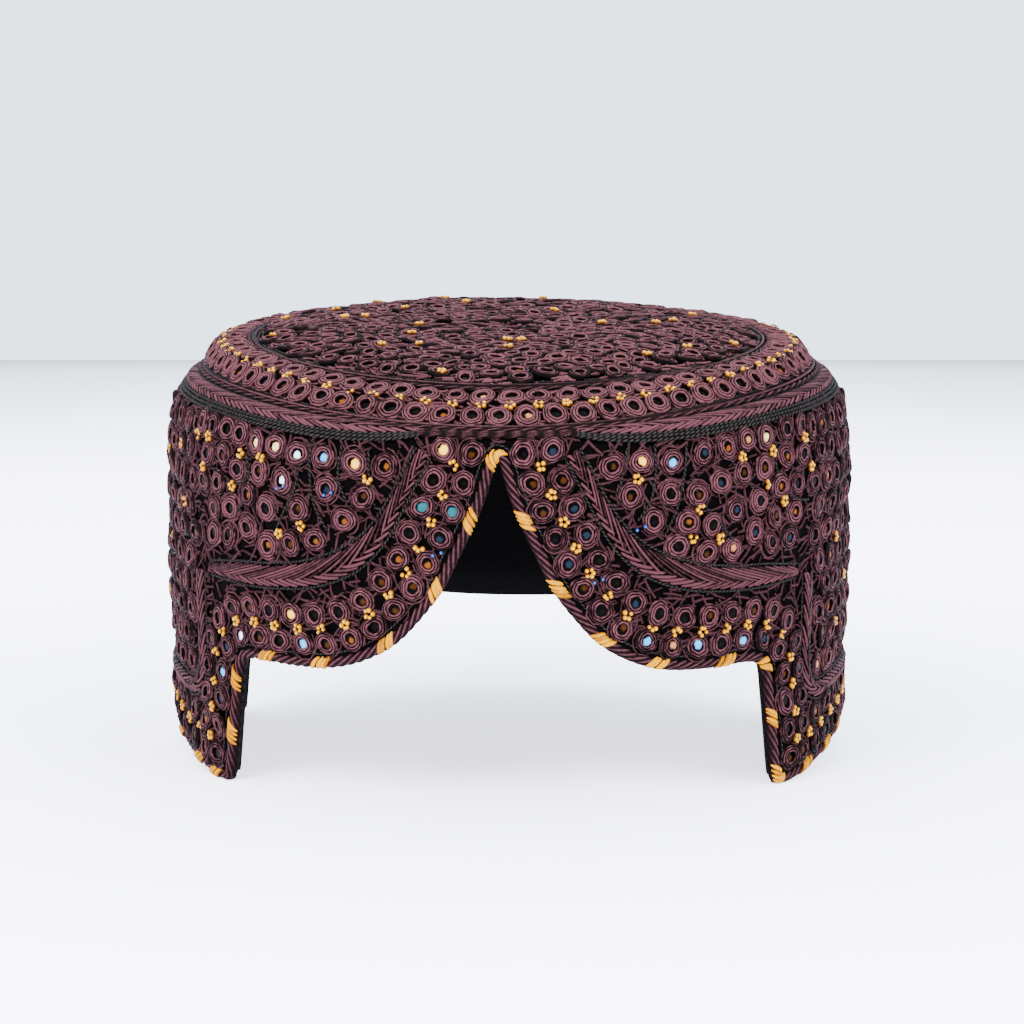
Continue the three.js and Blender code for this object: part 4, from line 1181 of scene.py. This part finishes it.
def make_floor():
    """A pale square floor whose far edge is the horizon. It carries painted light: it glows away from the cap, and
    painted shade makes it darker at its far edge, as in the photo."""
    along, across = FLOOR_HALF * math.cos(VIEW_SWING), FLOOR_HALF * math.sin(VIEW_SWING)
    corners = ((-1, -1), (1, -1), (1, 1), (-1, 1))
    mesh = bpy.data.meshes.new("floor")
    mesh.from_pydata([(x * along - y * across, x * across + y * along, 0.0) for x, y in corners], [], [(0, 1, 2, 3)])
    mesh.uv_layers.new(name="floor").data.foreach_set("uv", [0.0, 0.0, 1.0, 0.0, 1.0, 1.0, 0.0, 1.0])
    floor = bpy.data.objects.new("floor", mesh)
    bpy.context.scene.collection.objects.link(floor)
    pale = Finish("pale_floor")
    far = pale.add("VectorMath", {0: pale.place()}, operation="LENGTH")["Value"]
    share = pale.add("MapRange", {"Value": far, "From Min": 0.12, "From Max": 0.75})["Result"]
    # Painted shade: darker farther from the cap.
    base = pale.ramp(share, [(0.0, 0.8, 0.79, 0.82), (0.5, 0.76, 0.75, 0.78), (1.0, 0.5, 0.485, 0.5)])
    # Painted light: the floor glows, least under the cap and most at a middle distance.
    painted_glow = pale.ramp(share, [
        (0.0, 0.2, 0.198, 0.24), (0.3, 0.42, 0.416, 0.52), (0.6, 0.36, 0.356, 0.44), (1.0, 0.0, 0.0, 0.0)])
    # Painted shade: darker towards the far edge.
    away = pale.ramp(pale.add("SeparateXYZ", {"Vector": pale.uv("floor")})["Y"], [
        (0.6, 1.0, 1.0, 1.0), (0.87, 0.9, 0.9, 0.9), (0.93, 0.8, 0.8, 0.81), (0.985, 0.84, 0.84, 0.85),
        (0.993, 0.68, 0.67, 0.68), (1.0, 0.6, 0.59, 0.6)])
    mesh.materials.append(pale.surface({
        "Base Color": pale.mix(1.0, base, away, "MULTIPLY"), "Roughness": 0.8, "Specular IOR Level": 0.1,
        "Emission Color": painted_glow, "Emission Strength": 9.0,
    }))


def make_lights():
    """A pale world and three soft lamps aimed at the cap's middle."""
    world = bpy.data.worlds.new("studio")
    bpy.context.scene.world = world
    world.use_nodes = True
    background = world.node_tree.nodes["Background"]
    background.inputs["Color"].default_value = (0.84, 1.0, 1.18, 1.0)
    background.inputs["Strength"].default_value = 3.0
    for name, place, size, energy in (
        ("key", (-0.9, -1.3, 1.5), 1.2, 110.0),
        ("fill", (1.3, -1.2, 1.1), 1.4, 60.0),
        ("top", (0.0, 0.4, 1.9), 1.6, 40.0),
    ):
        light = bpy.data.lights.new(name, "AREA")
        light.shape = "DISK"
        light.size = size
        light.energy = energy
        lamp = bpy.data.objects.new(name, light)
        lamp.location = place
        aim = Vector((0.0, 0.0, 0.07)) - Vector(place)
        lamp.rotation_euler = aim.to_track_quat("-Z", "Y").to_euler()
        bpy.context.scene.collection.objects.link(lamp)


def make_camera():
    """Camera at a distance from a target, raised and turned a little to the cap's right-hand side."""
    distance, rise = 2.2, math.radians(9.443)
    target = Vector((0.00077, 0.0, 0.06562))
    ahead = Vector((-math.sin(VIEW_SWING) * math.cos(rise), math.cos(VIEW_SWING) * math.cos(rise), -math.sin(rise)))
    right = Vector((math.cos(VIEW_SWING), math.sin(VIEW_SWING), 0.0))
    top = right.cross(ahead)
    lens = bpy.data.cameras.new("photo_camera")
    lens.sensor_width = 36.0
    lens.lens = 279.75
    lens.clip_end = 20.0
    camera = bpy.data.objects.new("photo_camera", lens)
    turn = Matrix((right, top, -ahead)).transposed().to_4x4()
    camera.matrix_world = Matrix.Translation(target - ahead * distance) @ turn
    bpy.context.scene.collection.objects.link(camera)
    bpy.context.scene.camera = camera


for make in (make_band, make_crown, make_lining, make_binding, make_braids, make_crown_braids, make_cords,
             make_bridge, make_fill, make_mirrors, make_floor, make_lights, make_camera):
    make()
